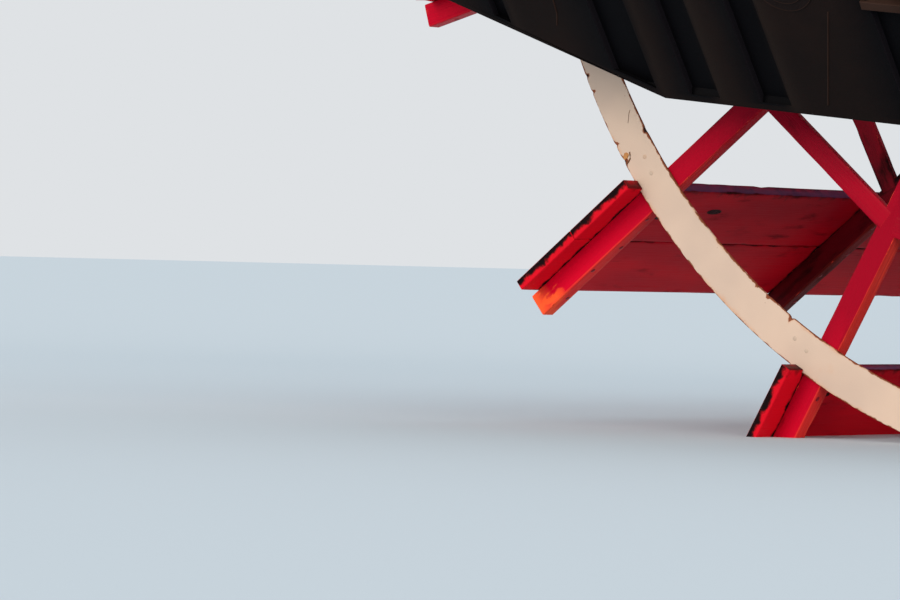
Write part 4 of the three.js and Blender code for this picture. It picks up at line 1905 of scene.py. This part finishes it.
@dataclass
class Decks:
    """The tarred planks that cover the tops of the beams and guards, laid round the bearings' feet."""

    finishes: Finishes
    rows: tuple[float, ...] = (3.078, 3.198, 3.318, 3.438, 3.558, 3.678)
    wide: float = 0.114
    thick: float = 0.022
    foot: Pair = (-5.02, -3.78)
    foot_rows: tuple[int, ...] = (1, 2, 3)
    ends: Pair = (-8.14, -0.01)
    # where the first row is joined, how much further forward the next ones are, and the gap
    first_joint: float = -6.3
    joint_step: float = 0.7
    joint_gap: float = 0.003
    bolt_step: float = 0.58
    bolt_in: float = 0.05
    head: Pair = (0.011, 0.003)

    def build(self) -> None:
        """Lays one piece of decking on each side."""
        for side in Side:
            sketch = Sketch()
            for i, y in enumerate(self.rows):
                joint = self.first_joint + self.joint_step * (i % 3)
                gap = self.foot if i in self.foot_rows else (joint, joint + self.joint_gap)
                for x0, x1 in ((self.ends[0], gap[0]), (gap[1], self.ends[1])):
                    self.plank(sketch, side, y, x0, x1)
            sketch.make(
                f"{side.word}_deck_planks", Body.STERN,
                [self.finishes.deck, self.finishes.bearing_bolt])

    def plank(self, sketch: Sketch, side: Side, y: float, x0: float, x1: float) -> None:
        """Lays one plank and its bolts.

        Args:
            sketch: the deck's mesh.
            side: which deck.
            y: how far out the plank's middle lies.
            x0: its aft end.
            x1: its forward end.
        """
        start = Vector((x0, side.value * y, FLARE.top_z + self.thick / 2 + 0.0005))
        place = Matrix.Translation(start)
        sketch.timber(
            place, x1 - x0, self.wide, self.thick, seed=y * 9 + x0, step=0.09, arris=0.003, nick=0.006)
        count = max(1, round((x1 - x0) / self.bolt_step))
        for i in range(count + 1):
            x = x0 + self.bolt_in + (x1 - x0 - 2 * self.bolt_in) * i / count
            at = Vector((x, side.value * y, FLARE.top_z + self.thick - 0.0005))
            sketch.dome(facing(at, UP), *self.head, coat=1, sides=8)


@dataclass
class Bearings:
    """The two plummer blocks: the CAD castings with their gunmetal shells, studs, bolts and grease pots."""

    finishes: Finishes
    middle: float = 3.300
    long: float = 0.300
    bore: float = 0.1512
    shell: float = 0.186
    stud_at: Pair = (0.288, 0.090)
    ear_top: float = 0.090
    foot_at: Pair = (0.505, 0.095)
    foot_top: float = -0.350
    cap_top: float = 0.270
    ease: float = 0.004
    # how far the shells' lips reach into the block and out of it
    lip: Pair = (-0.004, 0.009)
    # the nuts' flats, heights and washers
    stud_nut: Triple = (0.046, 0.034, 0.030)
    foot_nut: Triple = (0.050, 0.036, 0.036)
    # radius, height and wear round the grease pot and the knob on it
    pot: tuple[Triple, ...] = (
        (0.046, 0.0, 0.5), (0.046, 0.008, 0.8), (0.024, 0.016, 0.3), (0.020, 0.030, 0.3), (0.040, 0.042, 0.6),
        (0.042, 0.085, 0.5), (0.046, 0.087, 0.9), (0.046, 0.100, 1.0), (0.034, 0.108, 0.4),
        (0.010, 0.110, 0.5))
    knob: tuple[Triple, ...] = ((0.012, 0, 0.5), (0.012, 0.014, 0.9), (0.008, 0.018, 0.8))
    knob_up: float = 0.108
    bead_out: float = 0.262
    rib_outline: tuple[Pair, ...] = (
        (0.405, -0.352), (0.545, -0.352), (0.540, -0.335), (0.395, -0.225))
    rib_thick: float = 0.028

    def build(self) -> None:
        """Dresses the castings and adds one piece of fittings to each block."""
        for side in Side:
            for node in ("base", "cap"):
                dress(f"{side.word}_bearing_{node}", self.finishes.bearing, self.ease, along_edges=True)
            self.fittings(side)

    def fittings(self, side: Side) -> None:
        """Adds the shell lips, cap studs, foot bolts, ribs and the grease pot of one block.

        Args:
            side: which block.
        """
        sketch = Sketch()
        centre = Vector((SHAFT_X, side.value * self.middle, 0))
        low, high = self.lip
        for end in (-1, 1):
            place = axes(UP, FORE, centre + Vector((0, end * self.long / 2, 0)))
            lip = [
                (self.bore, low, 0.3), (self.bore, high - 0.002, 0.6), (self.bore + 0.002, high, 0.9),
                (self.shell - 0.004, high, 0.7), (self.shell, high - 0.004, 0.9), (self.shell, low, 0.2)]
            sketch.lathe(place, [(r, end * along, worn) for r, along, worn in lip], 72, looped=True, seed=end)
        for fore in (-1, 1):
            for end in (-1, 1):
                stud = centre + Vector((fore * self.stud_at[0], end * self.stud_at[1], self.ear_top - 0.001))
                sketch.hex_bolt(facing(stud, UP), *self.stud_nut, coat=1)
                foot = centre + Vector((fore * self.foot_at[0], end * self.foot_at[1], self.foot_top - 0.001))
                sketch.hex_bolt(facing(foot, UP), *self.foot_nut, coat=1)
            outline = [(fore * x, z) for x, z in self.rib_outline][::fore]
            rib = axes(FORE, UP, centre + FAR * self.rib_thick / 2)
            sketch.prism(rib, outline, self.rib_thick, 0.003, coat=2)
        pot = facing(centre + UP * (self.cap_top - 0.004), UP)
        sketch.lathe(pot, self.pot, 40)
        sketch.lathe(pot @ shift(0, 0, self.knob_up), self.knob, 16)
        parting = axes(FORE, FAR, centre + UP * self.ear_top)
        for fore in (-1, 1):
            bead = parting @ shift(fore * self.bead_out, 0, -0.006)
            sketch.bar(bead, (0.020, self.long - 0.03, 0.012), 0.004, coat=2)
        sketch.make(
            f"{side.word}_bearing_fittings", Body.STERN,
            [self.finishes.bronze, self.finishes.bearing_bolt, self.finishes.bearing])


def dress(name: str, finish: bpy.types.Material, ease: float, along_edges: bool = False) -> None:
    """Gives a CAD node its finish and eased edges.

    Args:
        name: the node.
        finish: its material.
        ease: the width of the eased edges, in metres.
        along_edges: whether that width is measured along the neighbouring edges, which keeps the narrow
            facets beside a bore from reaching into it.
    """
    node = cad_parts[name]
    node.data.materials.clear()
    node.data.materials.append(finish)
    node.modifiers.new("joined corners", "WELD").merge_threshold = 0.000001
    # flat faces are made whole, so that the eased edges run clean across them
    whole = node.modifiers.new("whole faces", "DECIMATE")
    whole.decimate_type = "DISSOLVE"
    whole.angle_limit = radians(0.5)
    eased = node.modifiers.new("eased edges", "BEVEL")
    eased.offset_type = "ABSOLUTE" if along_edges else "OFFSET"
    eased.width = ease
    eased.use_clamp_overlap = False
    eased.segments = 2
    eased.limit_method = "ANGLE"
    eased.angle_limit = radians(30)
    eased.harden_normals = False
    node.modifiers.new("even shading", "WEIGHTED_NORMAL").keep_sharp = True
    log.info("%s: CAD shape with eased edges", name)


# The studio

@dataclass(frozen=True)
class Lamp:
    """A wide, soft lamp in the direction of its source. Its strength is in watts on a square metre."""

    name: str
    source: Triple
    strength: float
    spread_deg: float
    tone: str

    def hang(self) -> None:
        """Adds the lamp to the scene."""
        data = bpy.data.lights.new(self.name, "SUN")
        data.energy = self.strength
        data.angle = radians(self.spread_deg)
        data.color = colour(self.tone)[:3]
        lamp = bpy.data.objects.new(self.name, data)
        lamp.rotation_euler = Vector(self.source).to_track_quat("Z", "Y").to_euler()
        bpy.context.scene.collection.objects.link(lamp)


@dataclass
class Studio:
    """The pale floor at the waterline, the soft light, and the camera where the photograph was taken."""

    camera_at: Triple = (6.179186, -20.677132, -2.199506)
    camera_turn_deg: Triple = (89.59767, -1.38069, 38.18003)
    lens_mm: float = 198.009
    floor_reach: float = 1500.0
    floor_tone: str = "#c8d6e0"
    floor_rough: float = 0.9
    sky_tone: str = "#e1e4e7"
    sky_strength: float = 0.98
    lamps: tuple[Lamp, ...] = (
        Lamp("key", (-0.22, -0.85, 0.34), 1.50, 28, "#fff0de"),
        Lamp("fill", (0.86, -0.49, 0.12), 1.9, 40, "#ffe6d2"))

    def build(self) -> None:
        """Sets the camera first, then the floor, the sky and the lamps."""
        self.camera()
        self.floor()
        self.sky()
        for lamp in self.lamps:
            lamp.hang()

    def camera(self) -> None:
        """Puts the camera where the photograph was taken."""
        data = bpy.data.cameras.new("photograph")
        data.lens = self.lens_mm
        data.sensor_width = 36.0
        data.clip_start = 0.1
        data.clip_end = 3 * self.floor_reach
        view = bpy.data.objects.new("photograph", data)
        bpy.context.scene.collection.objects.link(view)
        turn = Euler([radians(a) for a in self.camera_turn_deg]).to_matrix().to_4x4()
        view.matrix_world = Matrix.Translation(self.camera_at) @ turn
        bpy.context.scene.camera = view

    def floor(self) -> None:
        """Lays the floor at the waterline."""
        reach = self.floor_reach
        mesh = bpy.data.meshes.new("floor")
        mesh.from_pydata([(-reach, -reach, 0), (reach, -reach, 0), (reach, reach, 0), (-reach, reach, 0)], [],
                         [(0, 1, 2, 3)])
        material = bpy.data.materials.new("matt pale studio floor")
        material.use_nodes = True
        shader = material.node_tree.nodes["Principled BSDF"]
        shader.inputs["Base Color"].default_value = colour(self.floor_tone)
        shader.inputs["Roughness"].default_value = self.floor_rough
        shader.inputs["Specular IOR Level"].default_value = 0.0
        mesh.materials.append(material)
        floor = bpy.data.objects.new("floor", mesh)
        floor.location.z = WATERLINE
        bpy.context.scene.collection.objects.link(floor)

    def sky(self) -> None:
        """Lights the scene evenly from all round."""
        world = bpy.data.worlds.new("pale studio")
        world.use_nodes = True
        background = world.node_tree.nodes["Background"]
        background.inputs["Color"].default_value = colour(self.sky_tone)
        background.inputs["Strength"].default_value = self.sky_strength
        bpy.context.scene.world = world


def main() -> None:
    """Builds the studio, the wheel and the stern in order."""
    logging.basicConfig(level=logging.INFO, format="%(name)s %(message)s")
    bpy.context.scene.view_settings.view_transform = "Standard"
    Studio().build()
    finishes = Finishes()
    for assembly in (ArmSets, Paddles, RimRings, Hubs, Shaft, Cranks, PlateWork, Decks, Bearings):
        assembly(finishes).build()


if __name__ == "__main__":
    main()
